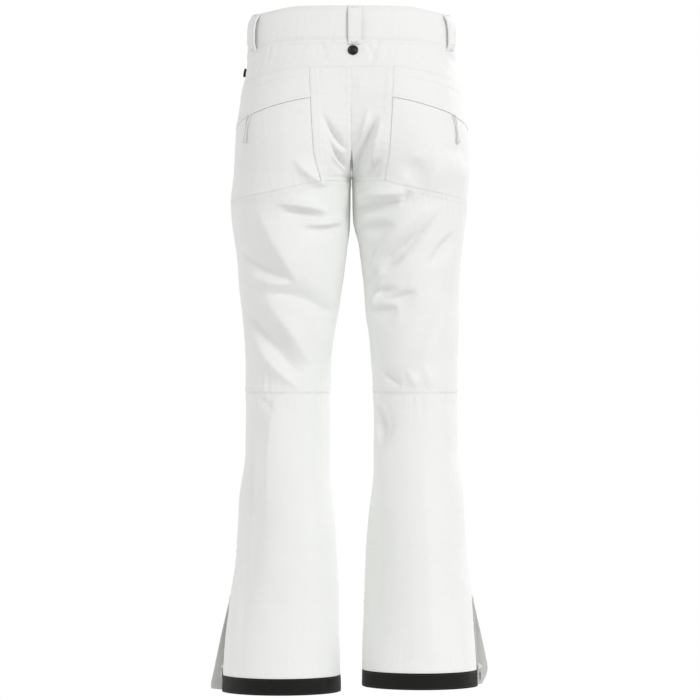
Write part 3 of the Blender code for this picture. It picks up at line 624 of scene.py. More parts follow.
def pull_cord():
    """Light grey cord with a diagonal braid, and its matt moulded end."""
    made = Nodes("cord")
    tone = made.noise(600.0)
    made.colour(tone, (0.3, (0.58, 0.59, 0.57)), (0.7, (0.72, 0.73, 0.71)))
    one, other = made.place(turn=0.7), made.place(turn=-0.7)
    braid = made.math("MULTIPLY", made.wave(one, 420.0, "Z"), made.wave(other, 420.0, "DIAGONAL"))
    bumps = (braid, 0.0002, 0.6), (tone, 0.0001, 0.3)
    return made.done((tone, 0.45, 0.7), bumps, **sheen(0.1, 0.4))


def slider_metal():
    """Painted die-cast zip slider, with the paint thinner on its high spots."""
    made = Nodes("slider")
    wear = made.noise(900.0, 4.0, 0.6)
    made.colour(wear, (0.3, (0.62, 0.63, 0.60)), (0.66, (0.72, 0.725, 0.70)), (0.82, (0.50, 0.50, 0.49)))
    return made.done((wear, 0.24, 0.46), [(wear, 0.00006, 0.4)], Coat_Weight=0.3, Coat_Roughness=0.2)


def snap_metal():
    """Black nickel, brushed by use."""
    made = Nodes("snap")
    wear = made.noise(1500.0, 4.0, 0.7)
    made.colour(wear, (0.3, (0.020, 0.020, 0.019)), (0.7, (0.045, 0.044, 0.042)), (0.86, (0.12, 0.12, 0.115)))
    return made.done((wear, 0.22, 0.45), [(wear, 0.00004, 0.5)], Metallic=0.9)


def sewing_thread(name, light, dark):
    """Bonded polyester thread, with its twist."""
    made = Nodes(name)
    twist = made.wave(made.place(), 900.0, "DIAGONAL")
    made.colour(made.noise(700.0), (0.3, dark), (0.7, light))
    return made.done((twist, 0.4, 0.6), [(twist, 0.0001, 0.5)], Sheen_Weight=0.1)


def floor_paint():
    made = Nodes("floor")
    tone = made.noise(6.0)
    made.colour(tone, (0.3, (0.86, 0.86, 0.86)), (0.7, (0.90, 0.90, 0.90)))
    return made.done((tone, 0.7, 0.9), [])


MATERIALS = {
    "shell": shell_cloth(),
    "lining": lining_cloth(),
    "guard": guard_cloth(),
    "zip": zip_tape(),
    "cord": pull_cord(),
    "slider": slider_metal(),
    "snap": snap_metal(),
    "thread": sewing_thread("thread", (0.78, 0.785, 0.77), (0.70, 0.705, 0.69)),
    "dark_thread": sewing_thread("dark_thread", (0.030, 0.030, 0.027), (0.018, 0.018, 0.016)),
    "floor": floor_paint(),
}


# ---- Meshes ----------------------------------------------------------------------------------------------
def quads_object(name, points, quads, finish, uv=None):
    """A smooth-shaded object from arrays of points and of four-cornered faces."""
    mesh = bpy.data.meshes.new(name)
    points, quads = np.asarray(points, float).reshape(-1, 3), np.asarray(quads, np.int32).reshape(-1, 4)
    mesh.vertices.add(len(points))
    mesh.vertices.foreach_set("co", points.ravel())
    mesh.loops.add(quads.size)
    mesh.loops.foreach_set("vertex_index", quads.ravel())
    mesh.polygons.add(len(quads))
    mesh.polygons.foreach_set("loop_start", np.arange(0, quads.size, 4, dtype=np.int32))
    mesh.update(calc_edges=True)
    if uv is not None:
        layer = mesh.uv_layers.new(name="cloth")
        layer.data.foreach_set("uv", np.asarray(uv, float).reshape(-1, 2)[quads.ravel()].ravel())
    mesh.validate()
    mesh.shade_smooth()
    made = bpy.data.objects.new(name, mesh)
    mesh.materials.append(MATERIALS[finish])
    bpy.context.scene.collection.objects.link(made)
    return made


def joined(parts):
    """Several (points, faces) as one."""
    offset, points, faces = 0, [], []
    for part_points, part_faces in parts:
        points.append(np.asarray(part_points, float).reshape(-1, 3))
        faces.append(np.asarray(part_faces, int).reshape(-1, 4) + offset)
        offset += len(points[-1])
    return np.concatenate(points), np.concatenate(faces)


def fitting(name, parts, finish, body, node=None, uv=False):
    """A piece made of (points, faces) parts, which moves with a body and may stand for a CAD node."""
    points, faces = joined(parts)
    made = quads_object(name, points, faces, finish, points[:, [0, 2]] if uv else None)
    if node:
        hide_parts(node)
    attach(made, body)
    return made


def walls(rings):
    """The faces between each ring of point numbers and the next."""
    turned = np.roll(rings, -1, axis=1)
    return np.stack([rings[:-1], turned[:-1], turned[1:], rings[1:]], -1).reshape(-1, 4)


def spaced(length, step):
    """Shares from 0 to 1, a step apart and closer together at both ends."""
    edge = EDGE_STEPS[-1]
    count = max(2, int(math.ceil((length - 2 * edge) / step)))
    middle = np.linspace(edge, length - edge, count + 1)
    return np.concatenate([EDGE_STEPS[:-1], middle, length - np.array(EDGE_STEPS[-2::-1])]) / length


def run_lengths(points, axis):
    """How far along its row or column each point of a grid lies."""
    steps = np.linalg.norm(np.diff(points, axis=axis), axis=-1)
    lead = np.zeros_like(np.take(steps, [0], axis=axis))
    return np.concatenate([lead, np.cumsum(steps, axis=axis)], axis=axis)


def ripple(seed, along, size):
    """Smooth noise along a line, of about this wavelength."""
    random = np.random.default_rng(seed)
    total = np.zeros_like(along)
    for _ in range(7):
        total += np.sin(2 * math.pi * along / (size * random.uniform(0.6, 1.8)) + random.uniform(0, 6.28))
    return total / 3.2


# ---- Sewing ----------------------------------------------------------------------------------------------
class Seam:
    """How a panel's cloth behaves beside one of its borders, in metres.

    roll is how deep the edge rolls under, lines are the distances of its rows of stitches, strip and raised
    are the width and height of a raised strip, and pucker, reach and size are the height of its puckers, how
    far in they are highest, and how long one is.
    """

    def __init__(self, roll=0.0003, lines=(), strip=0.0, raised=0.0005, pucker=0.0004, reach=0.009,
                 size=0.009):
        self.roll, self.lines, self.strip, self.raised = roll, lines, strip, raised
        self.pucker, self.reach, self.size = pucker, reach, size

    def rolled(self, away):
        return self.roll * np.exp(-((away / ROLL_WIDTH) ** 2))

    def lift(self, away, along, seed):
        """Height change at a distance away from the border and a place along it."""
        height = -self.rolled(away)
        if self.strip:
            height += self.raised * (1 - smooth(self.strip, self.strip + 0.0016, away))
        for line in self.lines:
            height -= 0.0004 * np.exp(-(((away - line) / 0.00055) ** 2))
        swell = (away / self.reach) * np.exp(1 - away / self.reach)
        gathered = 0.25 + 0.75 * smooth(-0.3, 0.8, ripple(seed + 50, along, self.size * 6))
        return height + self.pucker * swell * gathered * ripple(seed, along, self.size)


PLAIN = Seam()
FLAT = Seam(pucker=0.0001)
SINGLE = Seam(lines=(0.0021,), pucker=0.0005)
FELLED = Seam(lines=(0.0018, 0.0074), strip=0.0086, raised=0.0006, pucker=0.0005)
HARD_STRIP = Seam(roll=0.0007, lines=(0.0018, 0.0095), strip=0.0115, raised=0.0012, pucker=0.0003)
SOFT_STRIP = Seam(roll=0.0002, lines=(0.0018, 0.0095), strip=0.0115, raised=0.0008, pucker=0.0003)
CENTRE_STRIP = Seam(roll=0.0001, lines=(0.0018, 0.0074), strip=0.0086, raised=0.0004)
CENTRE_PLAIN = Seam(roll=0.0001)
PUCKERED = Seam(roll=0.0001, lines=(0.0018, 0.0074), strip=0.0086, raised=0.0006, pucker=0.0010, reach=0.011,
                size=0.014)
FOLDED = Seam(roll=0.0009, lines=(0.0021,), strip=0.0030, raised=0.0002, pucker=0.0002)
LIP = Seam(roll=0.0002, lines=(0.0050,), strip=0.0055, raised=0.0007, pucker=0.0002)
POCKET_TOP = Seam(lines=(0.0018, 0.0160), strip=0.0166, raised=0.0005, pucker=0.0003)
BELOW_SLOT = Seam(pucker=0.0002)
BESIDE_SEAT = Seam(roll=0.0004, pucker=0.0002)
SHIN_TOP = Seam(roll=0.0002, pucker=0.0007, reach=0.010, size=0.012)
ABOVE_GUARD = Seam(lines=(0.0016,))
GUARD_EDGE = Seam(roll=0.0008, lines=(0.0025,), pucker=0.0001)
GUSSET_HEM = Seam(roll=0.0002, pucker=0.0008, reach=0.006, size=0.016)
LOOP_SIDE = Seam(roll=0.0007, lines=(0.0024,), strip=0.0012, raised=0.0001, pucker=0.0001)
LOOP_END = Seam(roll=0.0005, pucker=0.0)
TAB_EDGE = Seam(roll=0.0008, lines=(0.0022,), pucker=0.0001)
PLACKET_EDGE = Seam(roll=0.0007, lines=(0.0030,), pucker=0.0003)

THREADS = {}  # the stitches that move together and have the same thread
RING = np.array([(math.cos(k * math.pi / 3), math.sin(k * math.pi / 3)) for k in range(6)])
# A stitch's shape: (share of its length, size of its section, height), both in thread radii.
STITCH = ((0.0, 0.3, -0.9), (0.12, 0.9, 0.1), (0.5, 1.0, 0.45), (0.88, 0.9, 0.1), (1.0, 0.3, -0.9))


def stitches(path, out, pitch=STITCH_PITCH, length=STITCH_LENGTH, radius=THREAD_RADIUS):
    """Points and faces of the sewn stitches along a path."""
    run = run_lengths(path, 0)
    count = int((run[-1] - 0.004) / pitch)
    if count < 1:
        return np.zeros((0, 3)), np.zeros((0, 4), int)
    starts = 0.002 + pitch * np.arange(count)

    def at(values, where):
        return np.stack([np.interp(where, run, values[:, k]) for k in range(3)], -1)

    first, last, up = at(path, starts), at(path, starts + length), at(out, starts + length / 2)
    along = unit(last - first)
    aside = unit(np.cross(along, up))
    up = np.cross(aside, along)
    rings = []
    for share, size, raise_by in STITCH:
        centre = mix(first, last, share) + up * radius * raise_by
        for x, y in RING:
            rings.append(centre + radius * size * (aside * x + up * y))
    points = np.stack(rings, 1)
    index = np.arange(points.shape[1]).reshape(len(STITCH), len(RING))
    ends = [index[0][[0, 5, 4, 1]], index[0][[1, 4, 3, 2]], index[-1][[0, 1, 4, 5]], index[-1][[1, 2, 3, 4]]]
    quads = np.concatenate([walls(index), np.array(ends)])
    faces = quads[None] + (np.arange(count) * points.shape[1])[:, None, None]
    return points.reshape(-1, 3), faces.reshape(-1, 4)


def sew(path, out, body="shell", leg=None, thread="thread", **size):
    """Adds a row of stitches along a path on the cloth, whose outward directions are out."""
    THREADS.setdefault((body, leg, thread), []).append(stitches(path, out, **size))


def bartack(path, out, **options):
    """Adds a dense row of stitches."""
    sew(path, out, pitch=0.0009, length=0.0016, **options)


def sew_threads():
    for (body, leg, thread), parts in THREADS.items():
        made = quads_object(f"{thread}_{leg or body}", *joined(parts), thread)
        hold(made, body, leg)


def hold(obj, body, leg=None):
    """Makes a piece move with its body, or, when a leg is given, bakes its place into its points and leaves
    it without a parent.
    """
    if leg is None:
        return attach(obj, body)
    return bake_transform(obj)


# ---- Panels ----------------------------------------------------------------------------------------------
def panel(name, place, size, seams, body="shell", leg=None, finish="shell", thickness=0.0016, relief=1.0,
          step=GRID, thread="thread"):
    """One cut piece of cloth as a closed sheet, of about this (width, length).

    place gives (side, angle, height, lift) for arrays of column and row shares, and seams says how each
    border is sewn: (left, right, top, bottom). relief is how much of the shell's folds it has.
    """
    a, b = np.meshgrid(*(spaced(length, step) for length in size))
    side, angle, z, lift = place(a, b)
    base, normals = shell(side, angle, z)
    across, down = run_lengths(base, 1), run_lengths(base, 0)
    borders = ((across, down), (across[:, -1:] - across, down), (down, across), (down[-1:] - down, across))
    lift = np.broadcast_to(lift, across.shape)
    height = lift + (relief * folds(base, normals) if relief else 0.0)
    seed = sum(map(ord, name))
    sunk = np.zeros_like(height)
    for number, (seam, (away, along)) in enumerate(zip(seams, borders)):
        height = height + seam.lift(away, along, seed + number)
        sunk = np.maximum(sunk, seam.rolled(away))
    outer = base + normals * height[..., None]
    inner = base + normals * (height - thickness + 0.6 * sunk)[..., None]
    made = closed_sheet(name, outer, inner, across, down, finish)
    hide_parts(name)
    hold(made, body, leg)
    surface = surface_normals(outer, normals)
    for number, (seam, (away, _)) in enumerate(zip(seams, borders)):
        for line in seam.lines:
            sew(*border_path(outer, surface, away, number, line), body, leg, thread)


def closed_sheet(name, outer, inner, across, down, finish):
    """Cloth with an outer and an inner face and a rim between them, its faces turned outwards."""
    rows, columns = outer.shape[:2]
    count = rows * columns
    index = np.arange(count).reshape(rows, columns)
    quads = np.stack([index[:-1, :-1], index[1:, :-1], index[1:, 1:], index[:-1, 1:]], -1).reshape(-1, 4)
    rim = np.concatenate([index[0], index[1:, -1], index[-1, -2::-1], index[-2:0:-1, 0]])
    following = np.roll(rim, -1)
    sides = np.stack([rim, following, following + count, rim + count], -1)
    faces = np.concatenate([quads, quads[:, ::-1] + count, sides])
    points = np.concatenate([outer.reshape(-1, 3), inner.reshape(-1, 3)])
    through = outer[rows // 2, columns // 2] - inner[rows // 2, columns // 2]
    corners = points[quads[len(quads) // 2]]
    if np.cross(corners[1] - corners[0], corners[2] - corners[0]) @ through < 0:
        faces = faces[:, ::-1]
    uv = np.stack([across, down], -1).reshape(-1, 2)
    return quads_object(name + "_cloth", points, faces, finish, np.concatenate([uv, uv]))


def surface_normals(points, rough):
    """A grid's own normals, on the same side as some rough ones."""
    normals = unit(np.cross(np.gradient(points, axis=0), np.gradient(points, axis=1)))
    return normals * np.sign((normals * rough).sum(-1, keepdims=True))


def border_path(points, normals, away, border, distance):
    """The line on a panel at a distance from its left, right, top or bottom border (0 to 3)."""
    if border < 2:
        points, normals, away = (np.swapaxes(v, 0, 1) for v in (points, normals, away))
    if border % 2:
        points, normals, away = points[::-1], normals[::-1], away[::-1]
    columns = np.arange(away.shape[1])
    row = np.clip((away < distance).sum(axis=0), 1, len(away) - 1)
    low, high = away[row - 1, columns], away[row, columns]
    share = np.clip((distance - low) / np.maximum(high - low, 1e-9), 0, 1)[:, None]
    path, out = (mix(v[row - 1, columns], v[row, columns], share) for v in (points, normals))
    return path, unit(out)


def mirrored(share):
    """The side, and the share of the way out from the middle, for a share of a piece that crosses it."""
    reach = 2 * share - 1
    return np.where(reach >= 0, 1.0, -1.0), np.abs(reach)


def mirrored_x(x):
    return np.where(x >= 0, 1.0, -1.0), np.abs(x)


def waistband():
    def back_angle_of(share, z):
        return mix(-widest_angle(z), -seam_angle(z), share)

    def facing_angle(share, z):
        return mix(-widest_angle(z), widest_angle(z) - 0.06, share)

    def back(a, b):
        side, reach = mirrored(a)
        z = mix(WAIST_TOP, band_edge(back_angle_of, reach) + GAP / 2, b)
        angle = back_angle_of(reach, z)
        return side, angle, z + (1 - b) * (back_rise(oval(angle, z)[..., 0]) - waist_drop(angle)), 0.0

    panel("waistband_back", back, (0.44, 0.050), (PLAIN, PLAIN, FOLDED, SINGLE))
    for name, side in SIDES:

        def front(a, b):
            z = mix(WAIST_TOP - FRONT_DIP * a * a, band_edge(front_angle, a) + GAP / 2, b)
            angle = front_angle(a, z)
            return side, angle, z - (1 - b) * waist_drop(angle), 0.0

        panel(f"waistband_front_{name}", front, (0.225, 0.046), (PLAIN, FLAT, FOLDED, SINGLE))

    def facing(a, b):
        side, reach = mirrored(a)
        top = WAIST_TOP - FRONT_DIP * np.maximum(0.0, 2 * reach - 1) ** 2 - 0.002
        top = top - waist_drop(facing_angle(reach, WAIST_TOP))
        z = mix(top, band_edge(facing_angle, reach) - 0.006, b)
        return side, facing_angle(reach, z), z, -FABRIC - 0.0012

    panel("waistband_facing", facing, (0.86, 0.053), (FLAT,) * 4, finish="lining", thickness=0.0011,
          step=0.004)


def yoke():
    def place(a, b):
        side, share = mirrored(a)
        z = mix(band_edge(back_angle, share) - GAP / 2, yoke_seam(share) + GAP / 2, b)
        return side, back_angle(share, z), z, 0.0

    panel("back_yoke", place, (0.46, 0.046), (PLAIN, PLAIN, PUCKERED, PLAIN))


def back_panels(name, side):
    """The seat and pocket panels and the thigh. The left side laps over the right at its two seams."""
    left = side < 0

    def seat(a, b):
        z = mix(YOKE_BOTTOM - GAP / 2, UNDER_SEAT + GAP / 2, b)
        return side, back_angle(a * (SEAT_SHARE - SEAT_GAP), z), z, 0.0

    seams = (CENTRE_STRIP, HARD_STRIP, SINGLE, PLAIN) if left else (CENTRE_PLAIN, SOFT_STRIP, SINGLE, PLAIN)
    panel(f"seat_panel_{name}", seat, (0.065, 0.215), seams, step=FINE_GRID)

    def welt(a, b):
        share = mix(SEAT_SHARE + SEAT_GAP, 1.0, a)
        z = mix(yoke_seam(share) - GAP / 2, pocket_line(share) + pocket_gap(share), b)
        return side, back_angle(share, z), z, 0.0

    panel(f"back_pocket_welt_{name}", welt, (0.15, 0.05), (PLAIN, PLAIN, POCKET_TOP, LIP), step=FINE_GRID)

    def pocket(a, b):
        share = mix(SEAT_SHARE + SEAT_GAP, 1.0, a)
        z = mix(pocket_line(share) - pocket_gap(share), under_seat_seam(share) + GAP / 2, b)
        return side, back_angle(share, z), z, 0.0

    seams = (BESIDE_SEAT, PLAIN, BELOW_SLOT, PLAIN)
    panel(f"back_pocket_panel_{name}", pocket, (0.16, 0.145), seams, step=FINE_GRID)

    def thigh(share, b):
        z = mix(under_seat_seam(share) - GAP / 2, KNEE + GAP / 2, b)
        return side, back_angle(share, z), z, 0.0

    seams = (PLAIN, SINGLE, FELLED if left else PUCKERED, PUCKERED)
    panel(f"back_thigh_{name}", thigh, (0.25, 0.33), seams, leg=name)


def front_thigh(name, side):
    def place(a, b):
        z = mix(band_edge(front_angle, a) - GAP / 2, KNEE + GAP / 2, b)
        far = widest_angle(z) - np.where(z > CROTCH, 0.0, seam_angle(z))
        return side, mix(seam_angle(z), far, a), z, 0.0

    panel(f"front_thigh_{name}", place, (0.24, 0.535), (PLAIN, PLAIN, PLAIN, PUCKERED), leg=name)


def lower_leg(name, side):
    body, low = f"shin_{name}", hem_height(side)
    guard_top = low + GUARD_HEIGHT

    def shin_height(b):
        return mix(KNEE - GAP / 2, guard_top + GAP / 2, b)

    def back(a, b):
        z = shin_height(b)
        return side, mix(-math.pi + seam_angle(z), -slit_angle(z), a), z, 0.0

    def front(a, b):
        z = shin_height(b)
        return side, mix(slit_angle(z), math.pi - seam_angle(z), a), z, 0.0

    def guard(a, b):
        z = mix(guard_top - GAP / 2, low, b)
        return side, mix(slit_angle(z), 2 * math.pi - slit_angle(z), a), z, 0.0004

    size = (0.25, 0.43)
    panel(f"back_shin_{name}", back, size, (PLAIN, SINGLE, SHIN_TOP, ABOVE_GUARD), body, name)
    panel(f"front_shin_{name}", front, size, (SINGLE, PLAIN, SHIN_TOP, ABOVE_GUARD), body, name)
    panel(f"hem_guard_{name}", guard, (0.52, 0.034), (GUARD_EDGE,) * 4, body, finish="guard",
          thickness=0.0022, thread="dark_thread")


def gusset_bulge(z, rounding):
    """How far the gusset's fold stands out of the slit: evenly more towards the hem, then rounded in."""
    down = (SLIT_TOP - z) / (SLIT_TOP - HEM)
    opened = np.clip(1.1 * down, 0.0, 1.0) ** 0.9
    return GUSSET_BULGE * opened * (1 - rounding * smooth(0.7, 1.0, down) ** 1.5)


def cuff_gusset(name, side):
    """The cloth behind the slit: flat inside the cuff on both sides, with a fold that stands out between."""
    rounding = 0.95 if side > 0 else 0.0

    def place(a, b):
        z = mix(GUSSET_TOP, hem_height(side) + 0.002, b)
        across = 2 * a - 1
        foot = np.maximum(0.008, slit_angle(z) - 0.092)
        outside = mix(foot, slit_angle(z) + 0.03, 2 * np.abs(across) - 1)
        angle = np.where(np.abs(across) > 0.5, outside, 2 * np.abs(across) * foot)
        fold = np.maximum(0.0, 1 - 2 * np.abs(across))
        # Room for the slider at the top of its travel: the cloth lies deeper there and folds to the front.
        room = smooth(-0.985, -0.955, z) * (1 - smooth(-0.930, -0.912, z))
        floor = -FABRIC - LAYER - 0.0028 * room
        lift = floor + (gusset_bulge(z, rounding) - floor) * np.sin(math.pi / 2 * fold)
        return side, np.copysign(angle, across) + 0.032 * room * (1 - np.abs(across)), z, lift

    panel(f"cuff_gusset_{name}", place, (0.08, 0.138), (FLAT, FLAT, FLAT, GUSSET_HEM), f"shin_{name}",
          finish="lining", thickness=0.0009, relief=0.25, step=0.0012)


def slit_tack(name, side):
    """The dense rows of thread that end the cuff's slit."""
    angle = np.linspace(-0.075, 0.075, 14)
    for row in range(8):
        points, normals = shell(side, angle, SLIT_TOP - 0.0006 * row)
        path = points + normals * (folds(points, normals) + 0.0002)[:, None]
        bartack(path, normals, body=f"shin_{name}", leg=name, radius=0.0003)


GAITER_INSET = ((-0.865, 0.0065), (-0.93, 0.014), (-1.00, 0.023), (-1.032, 0.027))  # by height


def gaiter(name, side):
    """The boot gaiter: a sleeve of lining cloth, gathered by the elastic in its hem."""
    inset = profile(GAITER_INSET)
    z = np.linspace(GAITER_INSET[0][0], GAITER_INSET[-1][0], 80)[:, None]
    angle = np.linspace(0, 2 * math.pi, 241)[None, :-1]
    base, normals = shell(side, angle, z)
    normals[..., 2] = 0
    normals = unit(normals)
    gathers = 0.0010 * smooth(-0.96, -1.02, z) * np.sin(angle * 46 + 2 * np.sin(angle * 5))
    gathers = gathers + 0.0012 * wave_field(12, 0.05, base)
    band = 0.0009 * smooth(-1.019, -1.021, z) * (1 - smooth(-1.030, -1.032, z))
    under = np.minimum(0.0, folds(base, normals))
    outer = base + normals * (gathers + band + under - inset(z))[..., None]
    inner = outer - normals * 0.0012
    shape = outer.shape[:2]
    count = shape[0] * shape[1]
    index = np.arange(count).reshape(shape)
    turned = np.roll(index, -1, axis=1)
    quads = np.stack([index[:-1], index[1:], turned[1:], turned[:-1]], -1).reshape(-1, 4)
    top = np.stack([index[0], turned[0], turned[0] + count, index[0] + count], -1)
    low = np.stack([turned[-1], index[-1], index[-1] + count, turned[-1] + count], -1)
    faces = np.concatenate([quads, quads[:, ::-1] + count, top, low])
    if side < 0:
        faces = faces[:, ::-1]
    points = np.concatenate([outer.reshape(-1, 3), inner.reshape(-1, 3)])
    uv = np.stack(np.broadcast_arrays(angle * 0.085, -z), -1).reshape(-1, 2)
    made = quads_object(f"gaiter_{name}_cloth", points, faces, "lining", np.concatenate([uv, uv]))
    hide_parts(f"gaiter_{name}")
    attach(made, f"shin_{name}")


# ---- Belt loops, tab and placket -------------------------------------------------------------------------
def sewn_loop(name, place, length):
    """A belt loop of doubled cloth, with bartacks across both of its ends."""
    panel(name, place, (LOOP_WIDTH, length), (LOOP_SIDE, LOOP_SIDE, LOOP_END, LOOP_END), relief=0.0,
          step=0.0012, thickness=0.0024)
    for end in (0.045, 0.955):
        for shift in (-0.014, 0.0, 0.014):
            a = np.linspace(0.1, 0.9, 12)[None]
            side, angle, z, lift = place(a, np.full_like(a, end + shift))
            points, normals = shell(side, angle, z)
            path = (points + normals * (lift + 0.0001)[..., None])[0]
            bartack(path, normals[0], radius=0.00028)


def loop_lift(share, stand_off):
    return 0.0018 + LAYER + stand_off * np.minimum(1.0, 1.6 * np.sin(math.pi * np.clip(share, 0, 1)))


def belt_loop(name, side, angle):
    step = 0.001
    here, beside = (shell(side, at, -0.025)[0] for at in (angle, angle + step))
    half = LOOP_WIDTH / 2 * step / np.linalg.norm(beside - here)

    def place(a, b):
        z = mix(WAIST_TOP + 0.001 - waist_drop(angle), band_edge(lambda share, z: angle, 0.0) - 0.004, b)
        if angle > 0:
            z = z - (1 - b) * FRONT_DIP * (angle / widest_angle(z)) ** 2
        return side, mix(angle - half, angle + half, a), z, loop_lift(b, LOOP_STAND_OFF)

    sewn_loop(f"belt_loop_{name}", place, 0.060)


def centre_loop():
    def place(a, b):
        side, x = mirrored_x(CENTRE_LOOP_X + LOOP_WIDTH * (a - 0.5))
        z = mix(WAIST_TOP + BACK_RISE - 0.0004, BAND_BOTTOM - 0.002, b)
        return side, angle_at(x, z), z, loop_lift(b, CENTRE_LOOP_STAND_OFF)

    sewn_loop("belt_loop_centre", place, 0.058)


def waist_tab():
    def place(a, b):
        side, x = mirrored_x(mix(-0.004, TAB_LENGTH, a))
        z = mix(-FRONT_DIP - 0.001, BAND_BOTTOM + 0.0015, b)
        return side, -angle_at(x, z), z, TAB_LIFT + FABRIC

    panel("waist_tab", place, (0.054, 0.04), (TAB_EDGE,) * 4, "waist_tab", relief=0.0, step=TRIM_GRID)


def fly_placket():
    def place(a, b):
        side, x = mirrored_x(mix(-0.006, 0.036, a))
        z = mix(BAND_BOTTOM - 0.004, -0.196, b)
        over_zip = smooth(0.0, 0.20, a) * (1 - 0.85 * smooth(0.66, 1.0, a)) * smooth(0.0, 0.12, 1.0 - b)
        return side, -angle_at(x, z), z, LAYER + 0.0016 + 0.0094 * over_zip

    panel("fly_placket", place, (0.043, 0.142), (FLAT, PLACKET_EDGE, FLAT, FLAT), relief=0.0, step=TRIM_GRID,
          thickness=0.0014)


# ---- Lathed and swept trims ------------------------------------------------------------------------------
def section_sweep(rows, sections):
    """Points and faces of closed sections of (across, out) points, one for each row's (place, across, out)
    vectors, with quad caps."""
    rings = []
    for row, section in zip(rows, sections):
        place, across, out = map(np.array, row)
        rings += [place + across * x + out * y for x, y in section]
    size = len(sections[0])
    index = np.arange(len(rings)).reshape(-1, size)
    caps = []
    for ring in (index[0][::-1], index[-1]):
        for k in range(size // 2 - 1):
            caps.append((ring[k], ring[k + 1], ring[size - 2 - k], ring[size - 1 - k]))
    return np.array(rings), np.concatenate([walls(index), np.array(caps)])


def lathe(point, axis, outline, segments=48):
    """Points and faces of an outline of (radius, height) turned about an axis, open at its poles."""
    turn = axis.to_track_quat("Z", "Y").to_matrix()
    angles = np.linspace(0, 2 * math.pi, segments, endpoint=False)
    outline = [(max(radius, 2e-5), height) for radius, height in outline]
    ring = np.array([(r * math.cos(t), r * math.sin(t), h) for r, h in outline for t in angles])
    points = ring @ np.array(turn).T + np.array(point)
    return points, walls(np.arange(len(points)).reshape(-1, segments))


SNAP_RADIUS = 0.007
SNAP_CROWN = (
    (0.0054, -0.0005), (0.0051, -0.0006), (0.0048, -0.0004), (0.0044, -0.0001), (0.0030, -0.0002),
    (0.0026, -0.0004), (0.0023, -0.0002), (0.0010, 0.0), (0.0, 0.0),
)
STUD = (
    (0.0, 0.0), (0.0052, 0.0), (0.0054, 0.0002), (0.0052, 0.0006), (0.0024, 0.0007), (0.0018, 0.0011),
    (0.0021, 0.0018), (0.0018, 0.0022), (0.0, 0.0023),
)


def snap_cap(node, body, height, point, normal):
    """A snap's cap: rolled rim, fine groove, dished crown and a small raised boss."""
    outline = [(0.0, 0.0), (0.0058, 0.0), (SNAP_RADIUS - 0.0006, 0.0002)]
    for k in range(7):
        turn = math.radians(-50 + 140 * k / 6)
        rim = 0.0011
        outline.append((SNAP_RADIUS - rim + rim * math.cos(turn), height - 0.0013 + rim * math.sin(turn)))
    outline += [(radius, height + below) for radius, below in SNAP_CROWN]
    fitting(f"{node}_cap", [lathe(point, normal, outline)], "snap", body, node)


def snap_washer(name, point, normal, thick):
    """The pressed ring under a snap."""
    radius = 0.0079
    outline = ((0.0, -0.0006), (radius, -0.0006), (radius + 0.0002, thick * 0.2),
               (radius - 0.0004, thick * 0.5), (0.0, thick * 0.5))
    fitting(name, [lathe(point, normal, outline)], "snap", "shell")


def snaps():
    where, out = spot(1, angle_at(0.0022, -0.0608), -0.0608)
    lift = float(folds(np.array([where]), np.array([out]))[0])
    snap_cap("jacket_snap", "shell", 0.0036, where + out * LAYER, out)
    snap_washer("jacket_snap_washer", where + out * (lift + 0.0001), out, 0.0010)
    where, out = spot(-1, math.radians(6), -0.089)
    snap_cap("side_snap", "shell", 0.0048, where + out * LAYER, out)
    snap_washer("side_snap_washer", where, out, 0.0008)
    where, out = spot(1, -angle_at(0.030, -0.029), -0.029)
    snap_cap("waist_snap", "waist_tab", 0.0026, where + out * (TAB_LIFT + FABRIC + 0.0004), out)
    fitting("waist_stud_post", [lathe(where + out * LAYER, out, STUD, 32)], "snap", "shell", "waist_stud")


# ---- Zips ------------------------------------------------------------------------------------------------
TAPE_TOP = 0.0006
TAPE = (
    (-0.0060, 0.0), (-0.0060, 0.0005), (-0.0030, TAPE_TOP), (0.0, TAPE_TOP), (0.0030, TAPE_TOP),
    (0.0060, 0.0005), (0.0060, 0.0), (0.0, -0.0001),
)
CUFF_TAPE = (
    (-0.0030, 0.0), (-0.0030, 0.0005), (-0.0005, TAPE_TOP), (0.0010, TAPE_TOP), (0.0010, 0.0),
    (-0.0005, -0.0001),
)
COIL_PITCH = 0.0011
COIL_WIRE = ((-0.00034, 0.0), (0.0, 0.00026), (0.00034, 0.0), (0.0, -0.00026))  # its (along, out) section
ROW_STEP = 0.003  # between a tape's rows of points
ZIP_LIFT = 0.0018  # of the tapes of a hand pocket or a vent, off the shell
LIP_INNER = 0.0062  # from a zip's middle to the cloth that frames it
LIP_WIDTH = 0.0075
LIP_SECTION = (
    (0.0, -0.0012), (0.0, 0.0009), (0.0006, 0.0014), (0.0016, 0.0015), (LIP_WIDTH * 0.6, 0.0010),
    (LIP_WIDTH, -0.0004), (LIP_WIDTH, -0.0018), (LIP_WIDTH * 0.5, -0.0018),
)
CORD_RADIUS = 0.00095
# A pull's grip: (place along it, half of its width), where the free part's width is a share of the widest.
GRIP = (
    (-0.0022, 0.0018), (-0.0010, 0.0026), (0.0012, 0.0031), (0.0030, 1.0), (0.0048, 1.02), (0.0062, 0.86),
    (0.0074, 0.98), (0.0086, 0.9), (0.0094, 0.5),
)
GRIP_NECK = 3  # how many of those hold the cord, and have a width of their own


def circle_through(first, middle, last):
    a, b = middle - first, last - first
    normal = a.cross(b)
    offset = normal.cross(a) * b.length_squared + b.cross(normal) * a.length_squared
    centre = first + offset / (2 * normal.length_squared)
    return centre, (first - centre).length, normal.normalized()


